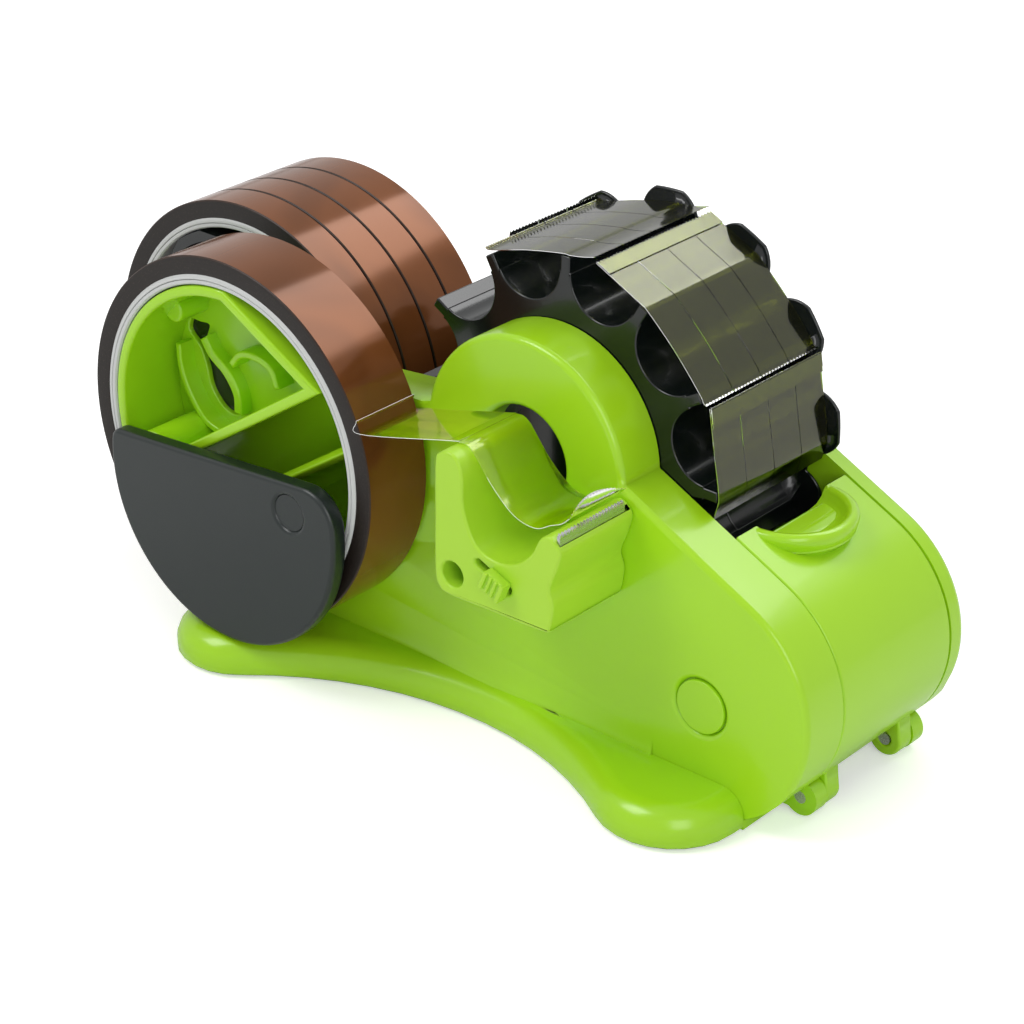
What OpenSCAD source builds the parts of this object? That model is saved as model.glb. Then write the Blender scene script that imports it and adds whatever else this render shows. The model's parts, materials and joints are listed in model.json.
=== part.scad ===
// Counter-top dispenser for heat-resistant tape. Four narrow rolls feed a lobed
// wheel that carries cut pieces to the top, and one wide roll feeds a small side cutter.
// X runs along the machine towards the nose, Y across it away from the wide roll, Z up.
// Lengths are in millimetres, angles in degrees.

/* [Tape] */
// Inside diameter of the roll cores
core_bore_d = 76.2; // [75.8:0.1:77]
// Wall of the roll cores
core_wall = 2.4; // [1.8:0.1:3]
// Depth of the tape wound on a core
wound_t = 4.5; // [3:0.1:5]
// Width of one narrow roll
tape_w = 10; // [9:0.25:11]
// Width of the single wide roll
wide_tape_w = 19; // [17:0.5:21]
// Thickness of the tape film
film_t = 0.25; // [0.2:0.05:0.4]

/* [Housing] */
// Depth of the hollow front side
front_wall_t = 13; // [12:0.5:15]
// Thickness of the rear side
rear_wall_t = 5; // [4:0.5:7]
// Thickness of the moulded walls
shell_t = 2.4; // [2:0.1:3]
// Distance of the wheel axis from the middle of the base
wheel_x = 14.8; // [14:0.2:16]
// Height of the wheel axis
wheel_z = 70.2; // [69:0.2:72]
// Radius of the ring-shaped head round the wheel bearing
ring_r = 28.3; // [26:0.2:30]
// Radius of the nose
nose_r = 29; // [27:0.5:30]
// Distance of the nose centre from the middle of the base
nose_x = 65; // [64:0.5:66]
// Slope of the ramp from the ring head down to the nose
ramp_deg = 26; // [24:0.5:28]
// Radius of the head that carries the roll hub
seat_head_r = 20; // [18:0.5:22]
// Slope of the rear edge of the sides, from upright
heel_deg = 32; // [30:1:36]
// Distance of the roll axis behind the middle of the base
rolls_x = 85; // [84:0.5:88]
// Height of the roll axis
rolls_z = 55; // [54:0.5:58]

/* [Base] */
// Height of the foot
foot_h = 9.6; // [9:0.2:10]
// Radius of the foot's rounded upper edge
foot_edge_r = 6; // [4:0.5:6.5]
// Half the distance between the tail lobes
tail_y = 43.5; // [40:0.5:46]
// Distance of the tail lobes behind the middle
tail_x = 62; // [60:0.5:64]
// Radius of the tail lobes
tail_r = 16; // [14:0.5:17]
// Half the distance between the nose lobes
toe_y = 33; // [31:0.5:34]
// Distance of the nose lobes ahead of the middle
toe_x = 61; // [60:0.5:61.5]
// Radius of the nose lobes
toe_r = 17.5; // [16:0.5:17.5]
// Radius of the waist on each side
waist_r = 85; // [80:1:95]
// Height and width of the flare where the sides meet the foot
cove_r = 4.5; // [3.5:0.5:5]

/* [Cutter wheel] */
// Radius of the lobed flange
wheel_r = 47; // [45:0.5:48]
// Radius over the tips of the ribs
rib_r = 43.6; // [42.6:0.2:44]
// Radius of the valleys between the flange's lobes
valley_r = 40; // [38:0.5:41]
// Radius of one lobe of the flange
lobe_r = 8; // [7:0.25:8.5]
// Thickness of the ribs that carry the tape
rib_t = 2.6; // [2:0.1:3.2]
// Radius of the wheel bearing
bearing_r = 12; // [10:0.5:13]
// Angle of the first lobe above the X direction
lobe_phase = 3; // [0:1:10]

/* [Wide roll seat] */
// Distance of the wide roll's axis behind the middle of the base
wide_x = 57; // [56:0.5:58]
// Height of the wide roll above the foot
wide_lift = 3.9; // [3.9:0.1:6]
// Tilt of the channel across the seat
channel_deg = 33.7; // [30:1:38]
// Width of the channel across the seat
channel_w = 13; // [11:0.5:15]
// Thickness of the seat's rim
rim_t = 2.6; // [2:0.1:3.2]
// Radius of the half-disc end stop
stop_r = 36.8; // [35:0.2:36.8]
// Thickness of the end stop
stop_t = 4.5; // [3.5:0.25:5]

/* [Side cutter] */
// Width of the side cutter bracket along the machine
bracket_w = 33; // [31:0.5:35]
// Height of the bracket's post
post_h = 34.5; // [33:0.5:36]
// Left edge of the bracket ahead of the middle
bracket_x = 11; // [10.5:0.25:12]
// Height of the bracket's lower edge
bracket_z = 46.2; // [45.5:0.25:47]

/* [Lid] */
// Thickness of the lid
lid_t = 2.4; // [2:0.1:3]
// Distance of the lid's upper edge from the middle of the base
lid_edge_x = 63.5; // [62.5:0.5:65]
// Radius of the finger tab
tab_r = 14.5; // [12:0.5:15.5]

/* [Roll hub] */
// Distance over the corners of the hexagonal hub
hub_corner_d = 75.6; // [75:0.1:75.7]
// Radius of the hub's journals
journal_r = 6.5; // [6:0.25:7]
// Width of the groove between the hub halves
hub_groove = 1.6; // [1:0.2:2]

/* [Hidden] */
$fn = 96;
// Overrun of cuts, clearances of sliding and turning fits
cut = 0.5;
fit = 0.06;
seat_gap = 0.3;
bay_gap = 0.75;
roll_count = 4;

bay_w = roll_count * tape_w + 2 * bay_gap;
body_w = front_wall_t + bay_w + rear_wall_t;
front_y = -body_w / 2;
bay_front_y = front_y + front_wall_t;
bay_rear_y = bay_front_y + bay_w;
rear_y = body_w / 2;
bay_mid_y = (bay_front_y + bay_rear_y) / 2;

core_bore_r = core_bore_d / 2;
core_r = core_bore_r + core_wall;
roll_r = core_r + wound_t;
roll_d = 2 * roll_r;
seat_x = -rolls_x;
wide_cx = -wide_x;
wide_z = foot_h + wide_lift + roll_r;

// The floor of the bay, and the ground clearance of the moulding above its pads
floor_t = 3;
pad_t = 1.1;
pad_proud = 0.6;

// Where the wide roll's front face lies, and the end stop in front of it
roll_step = 1.5;
wide_front_y = front_y - roll_step - wide_tape_w;
stop_gap = 0.8;
stop_back_y = wide_front_y - stop_gap;

lime = [0.55, 0.80, 0.12];
pale_lime = [0.64, 0.85, 0.25];
black = [0.07, 0.08, 0.09];
slate = [0.28, 0.30, 0.30];
steel = [0.75, 0.76, 0.78];
copper = [0.52, 0.33, 0.24];
film_colour = [0.72, 0.70, 0.12];
paper = [0.82, 0.82, 0.80];

// An outline drawn in X and Z, extruded along Y from y over a length
module across(y, length) {
    translate([0, y + length, 0]) rotate([90, 0, 0]) linear_extrude(length) children();
}

// A straight round bar along Y
module bar(x, z, r, y, length) {
    translate([x, y, z]) rotate([-90, 0, 0]) cylinder(r = r, h = length);
}

function polar(r, a) = [r * cos(a), r * sin(a)];
function arc(c, r, a, b, steps) = [for (i = [0:steps]) c + polar(r, a + (b - a) * i / steps)];

// The foot's plan: two lobes at the tail, two at the nose and a waist arc between
// them on each side. Every arc keeps its centre when the outline is drawn in by inset.
tail_c = [-tail_x, -tail_y];
toe_c = [toe_x, -toe_y];
lobe_gap = norm(toe_c - tail_c);
lobe_dir = (toe_c - tail_c) / lobe_gap;
waist_run = (pow(tail_r + waist_r, 2) - pow(toe_r + waist_r, 2) + pow(lobe_gap, 2)) / (2 * lobe_gap);
waist_off = sqrt(pow(tail_r + waist_r, 2) - pow(waist_run, 2));
waist_c = tail_c + waist_run * lobe_dir + waist_off * [lobe_dir.y, -lobe_dir.x];
tail_turn = atan2(waist_c.y - tail_c.y, waist_c.x - tail_c.x);
toe_turn = atan2(waist_c.y - toe_c.y, waist_c.x - toe_c.x);

function foot_side(inset) = concat(
    arc(tail_c, tail_r - inset, -180, tail_turn, 9),
    [for (i = [1:13]) waist_c + polar(waist_r + inset,
        tail_turn + 180 + (toe_turn - tail_turn) * i / 14)],
    arc(toe_c, toe_r - inset, toe_turn, 0, 9));

// One skirt's plan: the side of the foot, and its points on the wall that it stands against
function skirt_plan(inset) = let (side = foot_side(inset), last = len(side) - 1) concat(
    side, [for (i = [last:-1:0]) [side[i].x, -skirt_y]]);

// A solid lofted through plans at rising levels, each level being a height and an inset
module skirt_loft(levels) {
    rings = [for (level = levels) skirt_plan(level[1])];
    n = len(rings[0]);
    top = len(levels) - 1;
    polyhedron(
        points = [for (k = [0:top]) for (p = rings[k]) [p.x, p.y, levels[k][0]]],
        faces = concat(
            [for (i = [0:n / 2 - 2]) [i, i + 1, n - 2 - i, n - 1 - i]],
            [for (k = [0:top - 1]) for (i = [0:n - 1])
                [(k + 1) * n + i, (k + 1) * n + (i + 1) % n, k * n + (i + 1) % n, k * n + i]],
            [for (i = [0:n / 2 - 2]) top * [n, n, n, n] + [n - 1 - i, n - 2 - i, i + 1, i]]));
}

skirt_y = body_w / 2 + seat_gap / 3;
foot_edge_z = foot_h - foot_edge_r;
foot_levels = concat(
    [[pad_proud, rim_t / 3], [pad_proud + rim_t / 3, 0]],
    [for (a = [0:15:90]) [foot_edge_z + foot_edge_r * sin(a), foot_edge_r * (1 - cos(a))]]);
module skirt_front() color(lime) skirt_loft(foot_levels);
module skirt_rear() color(lime) mirror([0, 1, 0]) skirt_loft(foot_levels);

floor_x0 = -tail_x - tail_r;
floor_x1 = toe_x + toe_r;
cover_t = 1.1;
cover_inset = shell_t * 1.6;
cover_z = pad_proud + cover_t;

// The ramp and the nose are tangent, and so are the heel and the seat's head
ramp_normal = 90 - ramp_deg;
function ramp_foot(inset) = [nose_x, nose_r] + polar(nose_r - inset, ramp_normal);
function ramp_z(x, inset) = ramp_foot(inset).y - (x - ramp_foot(inset).x) * tan(ramp_deg);
function heel_top(inset) = [seat_x, rolls_z] + polar(seat_head_r - inset, 180 + heel_deg);
function heel_x(inset) = heel_top(inset).x + heel_top(inset).y * tan(heel_deg);

// Outline of the sides, drawn in by inset, from the bay's floor up
module side_profile(inset) {
    intersection() {
        union() {
            translate([wheel_x, wheel_z]) circle(ring_r - inset);
            translate([nose_x, nose_r]) circle(nose_r - inset);
            translate([seat_x, rolls_z]) circle(seat_head_r - inset);
            polygon([
                [seat_x, rolls_z + seat_head_r - inset],
                [wheel_x, rolls_z + seat_head_r - inset],
                [wheel_x, ramp_z(wheel_x, inset)],
                ramp_foot(inset),
                [nose_x, nose_r],
                [nose_x, 0],
                [heel_x(inset), 0],
                heel_top(inset),
                [seat_x, rolls_z]
            ]);
        }
        translate([-roll_d * 2, floor_t + inset]) square([roll_d * 4, roll_d * 2]);
    }
}

// Places of the fasteners: pillars between the base and the sides, and liner screws
screw_r = 1.5;
screw_head_r = 2.8;
screw_head_t = 1.6;
pillar_r = 3.6;
pillar_h = 16;
pillar_x_shares = [-0.83, -0.16, 0.86];
pillar_places = [for (s = pillar_x_shares) [s * nose_x, front_y + front_wall_t / 2]];
rear_screw_places = [for (s = pillar_x_shares) [s * nose_x, rear_y - rear_wall_t * 0.6]];
screw_places = concat(pillar_places, rear_screw_places);

// The floor of the bay, between the two skirts of the foot
module base() {
    color(lime) {
        difference() {
            translate([floor_x0, -skirt_y, pad_proud])
                cube([floor_x1 - floor_x0, 2 * skirt_y, floor_t - pad_proud]);
            underside(pad_proud - cut, cover_z, 0);
            for (p = screw_places) translate([p.x, p.y, 0]) {
                cylinder(r = screw_r + seat_gap, h = foot_h);
                cylinder(r = screw_head_r + seat_gap / 3, h = cover_z);
            }
            // Room behind the lid's knuckles
            translate([ear_x - knuckle_r - seat_gap, bay_front_y + ear_w, 0])
                cube([roll_d, knuckle_gap_w, foot_h]);
        }
        for (y = ear_ys) ear(y);
    }
}

// A plate drawn in from the edge of the floor, between two heights
module underside(low, high, gap) {
    inset = cover_inset + gap;
    translate([floor_x0 + inset, -skirt_y + inset, low])
        cube([floor_x1 - floor_x0 - 2 * inset, 2 * (skirt_y - inset), high - low]);
}

// A flare along the foot of a side, which covers the gap beside the base
flare_in = shell_t / 2;
module flare(side) {
    length = tail_x + toe_x - tail_r;
    mirror([0, side < 0 ? 1 : 0, 0]) translate([-tail_x + tail_r / 2, body_w / 2, foot_h])
        rotate([90, 0, 90]) linear_extrude(length)
            polygon(concat([[-flare_in, 0], [-flare_in, cove_r]],
                arc([cove_r, cove_r], cove_r, 180, 270, 9)));
}

// Two ears on the base, beside the lid's knuckles
ear_x = 84;
ear_z = 5;
ear_w = 4;
ear_r = 4.4;
knuckle_r = 4.2;
knuckle_w = 5;
knuckle_gap_w = bay_w - 2 * ear_w;
lid_pin_r = 1.5;
ear_ys = [bay_front_y, bay_rear_y - ear_w];
module ear(y) {
    difference() {
        union() {
            bar(ear_x, ear_z, ear_r, y, ear_w);
            translate([toe_x + toe_r / 2, y, cover_z])
                cube([ear_x - toe_x - toe_r / 2, ear_w, ear_z + ear_r - cover_z]);
        }
        bar(ear_x, ear_z, lid_pin_r, y - cut, ear_w + 2 * cut);
    }
}

module base_cover() {
    color(black) difference() {
        underside(pad_proud, cover_z, seat_gap / 2);
        translate([-grip_l / 2, -grip_w / 2, 0]) cube([grip_l, grip_w, pad_t]);
        for (p = screw_places) translate([p.x, p.y, 0]) cylinder(r = screw_head_r + seat_gap, h = foot_h);
    }
}

// The middle pad's length and width, and the corner pads
grip_l = 84;
grip_w = 30;
pad_r = 7;
pad_places = [
    [-tail_x, -tail_y], [-tail_x, tail_y], [toe_x, -toe_y], [toe_x, toe_y]
];

module grip_pad() {
    rib = grip_w / 15;
    pitch = 2 * rib;
    color(black) difference() {
        translate([-grip_l / 2, -grip_w / 2, 0]) cube([grip_l, grip_w, pad_t]);
        for (x = [-grip_l / 2 + pitch:pitch:grip_l / 2 - pitch])
            if (abs(x) > pitch) translate([x, -grip_w / 2 + rib, -cut])
                cube([rib, grip_w - 2 * rib, cut + pad_t / 3]);
    }
}

module rubber_feet() {
    color(black) for (p = pad_places) translate([p.x, p.y, 0]) cylinder(r = pad_r, h = pad_proud);
}

module base_screws() {
    color(steel) for (p = screw_places) translate([p.x, p.y, pad_proud]) {
        difference() {
            cylinder(r = screw_head_r, h = cover_t);
            translate([0, 0, -cut]) cylinder(r = screw_r, h = cut + cover_t / 2, $fn = 6);
        }
        cylinder(r = screw_r, h = pillar_h * 0.7);
    }
}

// The wide roll's seat, split by a channel: a hollow cup above and a shallow boss below
hub_r = core_bore_r - seat_gap;
cup_chord = 1.2;
cup_flat = 33.2;
cup_flat_deg = 61;
boss_step = 6;

module cup_outline(inset) {
    translate([wide_cx, wide_z]) intersection() {
        circle(hub_r - inset);
        rotate(channel_deg) translate([-hub_r, cup_chord + inset]) square(2 * hub_r);
        rotate(cup_flat_deg - 90) translate([-2 * hub_r, cup_flat - inset - 4 * hub_r])
            square(4 * hub_r);
    }
}

module boss_outline(inset) {
    translate([wide_cx, wide_z]) intersection() {
        circle(hub_r - inset);
        rotate(channel_deg) translate([-2 * hub_r, cup_chord - channel_w - inset - 4 * hub_r])
            square(4 * hub_r);
    }
}

// The end stop swings about a pin near its left end, so that it can line up with the core
stop_drop = 11.8;
stop_shift = 1.7;
stop_c = [wide_cx + stop_shift, wide_z - stop_drop];
stop_arm = 27;
stop_half = norm([stop_shift, stop_drop]) / 2;
stop_lean = atan2(stop_shift, stop_drop);
stop_mid = [wide_cx + stop_shift / 2, wide_z - stop_drop / 2];
stop_pivot = stop_mid - stop_arm * [cos(stop_lean), sin(stop_lean)];
stop_swing = 2 * atan2(stop_half, stop_arm);
stop_tilt = 4.2;
pin_r = 2;
pin_boss_r = 4.6;

// A keyhole that opens upwards, for a journal with two flats
key_lean = 20;
key_neck = 8.4;
module keyhole() {
    translate([seat_x, rolls_z]) {
        circle(journal_r + fit);
        rotate(key_lean) translate([-key_neck / 2, 0]) square([key_neck, seat_head_r * 2]);
    }
}

cap_r = 6.4;
cap_at = [65.6, 26.5];
liner_t = 2.5;
liner_y = bay_front_y - liner_t;
key_boss_y = bay_front_y - front_wall_t * 0.56;
key_boss_r = journal_r * 1.6;
liner_screw_places = [
    [-rolls_x * 0.88, rolls_z * 0.3], [-wide_x * 0.26, rolls_z * 1.2], [nose_x, nose_r * 0.5],
    [nose_x * 0.74, nose_r * 1.95]
];

// The way down to the keyhole through the rim of the front side
module front_neck() {
    across(key_boss_y - seat_gap, front_wall_t) translate([seat_x, rolls_z]) rotate(key_lean)
        translate([-key_neck / 2 - seat_gap, journal_r])
            square([key_neck + 2 * seat_gap, seat_head_r * 2]);
}

module front_side() {
    color(lime) {
        difference() {
            across(front_y, front_wall_t) side_profile(0);
            // The shell is open towards the liner
            across(front_y + shell_t, front_wall_t) side_profile(shell_t);
            across(front_y - cut, shell_t + 2 * cut) cup_outline(rim_t);
            bar(wheel_x, wheel_z, bearing_r, front_y - cut, body_w);
            bar(cap_at.x, cap_at.y, cap_r + seat_gap / 2, front_y - cut, shell_t / 2 + cut);
            bar(cap_at.x, cap_at.y, screw_head_r + seat_gap, front_y - cut, shell_t + 2 * cut);
            bar(post_screw.x, post_screw.y, screw_r, front_y - cut, shell_t + 2 * cut);
            bar(lip_screw.x, lip_screw.y, screw_r + seat_gap / 3, front_y - cut, shell_t + 2 * cut);
            front_neck();
            for (p = pillar_places) translate([p.x, p.y, 0]) cylinder(r = screw_r, h = pillar_h);
        }
        flare(-1);
        // Bearing boss behind the ring
        difference() {
            bar(wheel_x, wheel_z, bearing_r + shell_t, front_y + shell_t / 2,
                front_wall_t - liner_t - shell_t / 2 - seat_gap / 3);
            bar(wheel_x, wheel_z, bearing_r, front_y - cut, body_w);
        }
        // The cup runs from its rim in to the liner
        difference() {
            across(wide_front_y, liner_y - seat_gap / 3 - wide_front_y) cup_outline(0);
            across(wide_front_y - cut, body_w) cup_outline(rim_t);
            front_neck();
        }
        // Bosses for the liner's screws
        for (p = liner_screw_places)
            tube_ring(p.x, p.y, screw_r + shell_t, screw_r, front_y + shell_t / 2,
                liner_y - seat_gap / 3 - front_y - shell_t / 2);
        difference() {
            across(wide_front_y + boss_step, front_y + shell_t / 2 - wide_front_y - boss_step)
                boss_outline(0);
            across(wide_front_y - cut, front_y - wide_front_y + cut) boss_outline(rim_t);
        }
        // Boss for the end stop's pin
        difference() {
            bar(stop_pivot.x, stop_pivot.y, pin_boss_r, wide_front_y, key_boss_y - seat_gap - wide_front_y);
            bar(stop_pivot.x, stop_pivot.y, pin_r + fit, wide_front_y - cut, body_w);
        }
        // Pillars for the screws from below
        for (p = pillar_places) difference() {
            translate([p.x, p.y, floor_t]) cylinder(r = pillar_r, h = pillar_h);
            translate([p.x, p.y, 0]) cylinder(r = screw_r, h = pillar_h);
        }
    }
}

// Plate that closes the front side from the bay, with the keyhole in a raised boss
module front_liner() {
    color(lime) difference() {
        union() {
            across(liner_y, liner_t) side_profile(shell_t + seat_gap / 3);
            intersection() {
                bar(seat_x, rolls_z, key_boss_r, key_boss_y, liner_y - key_boss_y);
                across(key_boss_y, front_wall_t) cup_outline(rim_t + seat_gap);
            }
        }
        across(key_boss_y - cut, front_wall_t) keyhole();
        bar(wheel_x, wheel_z, bearing_r, liner_y - cut, liner_t + 2 * cut);
        for (p = liner_screw_places) {
            bar(p.x, p.y, screw_r + seat_gap / 3, liner_y - cut, liner_t + 2 * cut);
            bar(p.x, p.y, screw_head_r + seat_gap, bay_front_y - screw_head_t, screw_head_t + cut);
        }
    }
}

module rear_side() {
    color(lime) difference() {
        union() {
            flare(1);
            across(bay_rear_y, rear_wall_t) side_profile(0);
            bar(wheel_x, wheel_z, bearing_r + shell_t, bay_rear_y, rear_wall_t);
        }
        across(bay_rear_y - cut, rear_wall_t + 2 * cut) keyhole();
        bar(wheel_x, wheel_z, bearing_r, bay_rear_y - cut, rear_wall_t + 2 * cut);
        for (p = rear_screw_places) translate([p.x, p.y, 0]) cylinder(r = screw_r, h = pillar_h);
    }
}

module liner_screws() {
    color(steel) for (p = liner_screw_places) {
        difference() {
            bar(p.x, p.y, screw_head_r, bay_front_y - screw_head_t, screw_head_t);
            translate([p.x, bay_front_y - screw_head_t / 2, p.y]) rotate([-90, 0, 0])
                cylinder(r = screw_r, h = screw_head_t, $fn = 6);
        }
        bar(p.x, p.y, screw_r, bay_front_y - front_wall_t / 2, front_wall_t / 2 - screw_head_t);
    }
}

module screw_cap() {
    color(lime) {
        bar(cap_at.x, cap_at.y, cap_r, front_y, shell_t / 2);
        bar(cap_at.x, cap_at.y, screw_head_r, front_y + shell_t / 2, shell_t / 2);
    }
}

// The wheel's twelve ribs, with a deep trough between each two, and a lobed flange behind
lobe_count = 12;
lobe_flat = 0.8;
lobe_c = wheel_r - lobe_r + lobe_flat;
lobe_pitch = 360 / lobe_count;
wheel_wall = 2.2;
flange_t = bay_gap + seat_gap / 2;
rib_shift = -4;
wheel_front_y = bay_front_y + seat_gap;
wheel_w = roll_count * tape_w;
wheel_rear_y = wheel_front_y + wheel_w + flange_t;
wheel_half_w = wheel_w / 2;
trough_c = valley_r / cos(lobe_pitch / 2);
trough_r = trough_c * sin(lobe_pitch / 2) - rib_t / 2 - seat_gap;
well_in_r = bearing_r + 1.5 * wheel_wall;
well_out_r = trough_c - trough_r - 3 * wheel_wall;
well_depth = wheel_half_w * 0.6;
sleeve_r = bearing_r - fit;
sleeve_bore_r = sleeve_r - shell_t;
sleeve_front_y = front_y + front_wall_t / 2;
sleeve_rear_y = rear_y - seat_gap;

module around_wheel(offset_deg) {
    for (i = [0:lobe_count - 1]) rotate(lobe_phase + offset_deg + i * lobe_pitch) children();
}

module lobed_outline() {
    intersection() {
        circle(wheel_r);
        union() {
            circle(valley_r);
            around_wheel(0) translate([lobe_c, 0]) circle(lobe_r);
        }
    }
}

module ribbed_outline() {
    intersection() {
        circle(rib_r);
        union() {
            difference() {
                circle(valley_r);
                around_wheel(rib_shift + lobe_pitch / 2) translate([trough_c, 0]) circle(trough_r);
            }
            around_wheel(rib_shift) translate([well_out_r, -rib_t / 2]) square([wheel_r, rib_t]);
        }
    }
}

// An open ring sunk in an end face of the wheel, and the bearing's bore
module wheel_cuts(face_y, dir) {
    across(min(face_y - dir * cut, face_y + dir * well_depth), well_depth + cut) difference() {
        circle(well_out_r);
        circle(well_in_r);
    }
    bar(0, 0, bearing_r, wheel_front_y - cut, bay_w + 2 * cut);
}

module wheel_front() {
    color(black) translate([wheel_x, 0, wheel_z]) difference() {
        across(wheel_front_y, wheel_half_w) ribbed_outline();
        wheel_cuts(wheel_front_y, 1);
    }
}

module wheel_rear() {
    color(black) translate([wheel_x, 0, wheel_z]) difference() {
        union() {
            across(wheel_front_y + wheel_half_w, wheel_half_w) ribbed_outline();
            across(wheel_front_y + wheel_w, flange_t) lobed_outline();
        }
        wheel_cuts(wheel_rear_y, -1);
    }
}

module wheel_sleeve() {
    color(black) difference() {
        bar(wheel_x, wheel_z, sleeve_r, sleeve_front_y, sleeve_rear_y - sleeve_front_y);
        bar(wheel_x, wheel_z, sleeve_bore_r, sleeve_front_y - cut, body_w);
    }
}

module sleeve_caps() {
    r = sleeve_bore_r - fit / 2;
    color(black) {
        bar(wheel_x, wheel_z, r, sleeve_front_y + shell_t / 4, shell_t);
        bar(wheel_x, wheel_z, r, sleeve_rear_y - shell_t * 1.25, shell_t);
    }
}

// Film is a ribbon of one thickness along a line of points, outside them
function heading(points, i) =
    let (a = points[max(i - 1, 0)], b = points[min(i + 1, len(points) - 1)]) (b - a) / norm(b - a);
module ribbon(points, side) {
    polygon(concat(points, [for (i = [len(points) - 1:-1:0])
        points[i] + side * film_t * [-heading(points, i).y, heading(points, i).x]]));
}

strip_gap = 0.15;
module strips(from, to) {
    for (i = [from:to]) across(wheel_front_y + i * tape_w + strip_gap, tape_w - 2 * strip_gap)
        children();
}

// A piece of tape on the wheel: [angle, share of the ribs' radius] along it
module wheel_piece(angle_shares, from, to) {
    color(film_colour) translate([wheel_x, 0, wheel_z]) strips(from, to)
        ribbon([for (s = angle_shares) polar(rib_r * s[1], s[0])], 1);
}

piece_1_shares = [[118.9, 1.002], [117.4, 1.003], [104, 0.985], [90.7, 1.002], [87.3, 1.002], [84, 1],
    [79, 0.985]];
piece_2_shares = [[77, 0.98], [60.7, 1.002], [57.3, 1.002], [44, 0.985], [30.7, 1.002], [27.5, 1.002],
    [26.5, 1]];
piece_3_shares = [[24.5, 0.985], [12, 0.985], [0.7, 1.002], [-2.7, 1.002], [-8, 0.985]];
piece_4_shares = [[134, 0.99], [126, 0.985], [120.7, 1.002], [119.2, 1.003]];
module wheel_tape_1() wheel_piece(piece_1_shares, 0, 3);
module wheel_tape_2() wheel_piece(piece_2_shares, 0, 3);
module wheel_tape_3() wheel_piece(piece_3_shares, 0, 3);
module wheel_tape_4() wheel_piece(piece_4_shares, 1, 3);

// The four films run from under the rolls to the underside of the wheel and round it
feed_gap = 0.6;
feed_end = -27;
feed_span = norm([wheel_x - seat_x, wheel_z - rolls_z]);
feed_lean = atan2(wheel_z - rolls_z, wheel_x - seat_x);
feed_down = feed_lean - asin((rib_r - roll_r) / feed_span) - 90;
module feed_film() {
    color(film_colour) strips(0, 3) ribbon(concat(
        [[seat_x, rolls_z] + polar(roll_r + feed_gap / 2, feed_down)],
        arc([wheel_x, wheel_z], rib_r + feed_gap, feed_down, feed_end, 14)), -1);
}

// The hexagonal hub: two open halves on a stepped tube
hex_share = 0.94;
hub_wall = 2.6;
hub_face_in = 3;
spoke_w = 6;
hub_collar_r = 13;
tube_r = 9;
hub_half_w = (wheel_w - hub_groove) / 2;
flat_w = 8;

module hexagon(corner_d, inset) {
    intersection() {
        circle(r = corner_d / 2 / hex_share - inset / cos(30), $fn = 6);
        circle(corner_d / 2 - inset);
    }
}

module hub_half(face_y, dir) {
    lo = min(face_y, face_y + dir * hub_half_w);
    plate_lo = min(face_y + dir * hub_face_in, face_y + dir * (hub_face_in + hub_wall));
    collar_w = hub_half_w - hub_wall;
    color(black) difference() {
        union() {
            across(lo, hub_half_w) difference() {
                hexagon(hub_corner_d, 0);
                hexagon(hub_corner_d, hub_wall);
            }
            across(plate_lo, hub_wall) difference() {
                hexagon(hub_corner_d, hub_wall / 2);
                difference() {
                    hexagon(hub_corner_d, 2 * hub_wall);
                    circle(hub_collar_r + hub_wall);
                    for (i = [0:5]) rotate(60 * i) translate([0, -spoke_w / 2])
                        square([hub_corner_d, spoke_w]);
                }
            }
            bar(0, 0, hub_collar_r, min(face_y + dir * hub_wall, face_y + dir * (hub_wall + collar_w)),
                collar_w);
        }
        bar(0, 0, tube_r + fit / 2, lo - cut, hub_half_w + 2 * cut);
    }
}

// Stepped tube: thick through the halves, with flatted journals beyond them
module hub_axle(front, rear, mid_front, mid_rear) {
    color(black) difference() {
        union() {
            bar(0, 0, tube_r, mid_front, mid_rear - mid_front);
            intersection() {
                bar(0, 0, journal_r, front, rear - front);
                translate([-flat_w / 2, front, -journal_r]) cube([flat_w, rear - front, 2 * journal_r]);
            }
        }
        bar(0, 0, flat_w / 2 - hub_wall / 2, front - cut, rear - front + 2 * cut);
    }
}

module at_rolls() translate([seat_x, 0, rolls_z]) children();
module hub_front() at_rolls() hub_half(wheel_front_y, 1);
module hub_rear() at_rolls() hub_half(wheel_front_y + wheel_w, -1);
module hub_tube() at_rolls() rotate([0, 90 - key_lean, 0])
    hub_axle(key_boss_y + seat_gap, rear_y - seat_gap, wheel_front_y, wheel_front_y + wheel_w);

module tube_ring(x, z, out_r, in_r, y, w) {
    difference() {
        bar(x, z, out_r, y, w);
        bar(x, z, in_r, y - cut, w + 2 * cut);
    }
}

module narrow_core(i) {
    color(paper) tube_ring(seat_x, rolls_z, core_r, core_bore_r, wheel_front_y + i * tape_w, tape_w);
}
module narrow_roll(i) {
    color(copper) tube_ring(seat_x, rolls_z, roll_r, core_r,
        wheel_front_y + i * tape_w + strip_gap, tape_w - 2 * strip_gap);
}
module wide_core() {
    color(paper) tube_ring(wide_cx, wide_z, core_r, core_bore_r, wide_front_y, wide_tape_w);
}
module wide_roll() {
    color(copper) tube_ring(wide_cx, wide_z, roll_r, core_r, wide_front_y + strip_gap,
        wide_tape_w - 2 * strip_gap);
}

// Half-disc that keeps the wide roll on its seat
dimple_r = 4.4;
stop_edge = 9.5;
stop_corner_r = 9;
stop_heel_r = 3;

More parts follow.
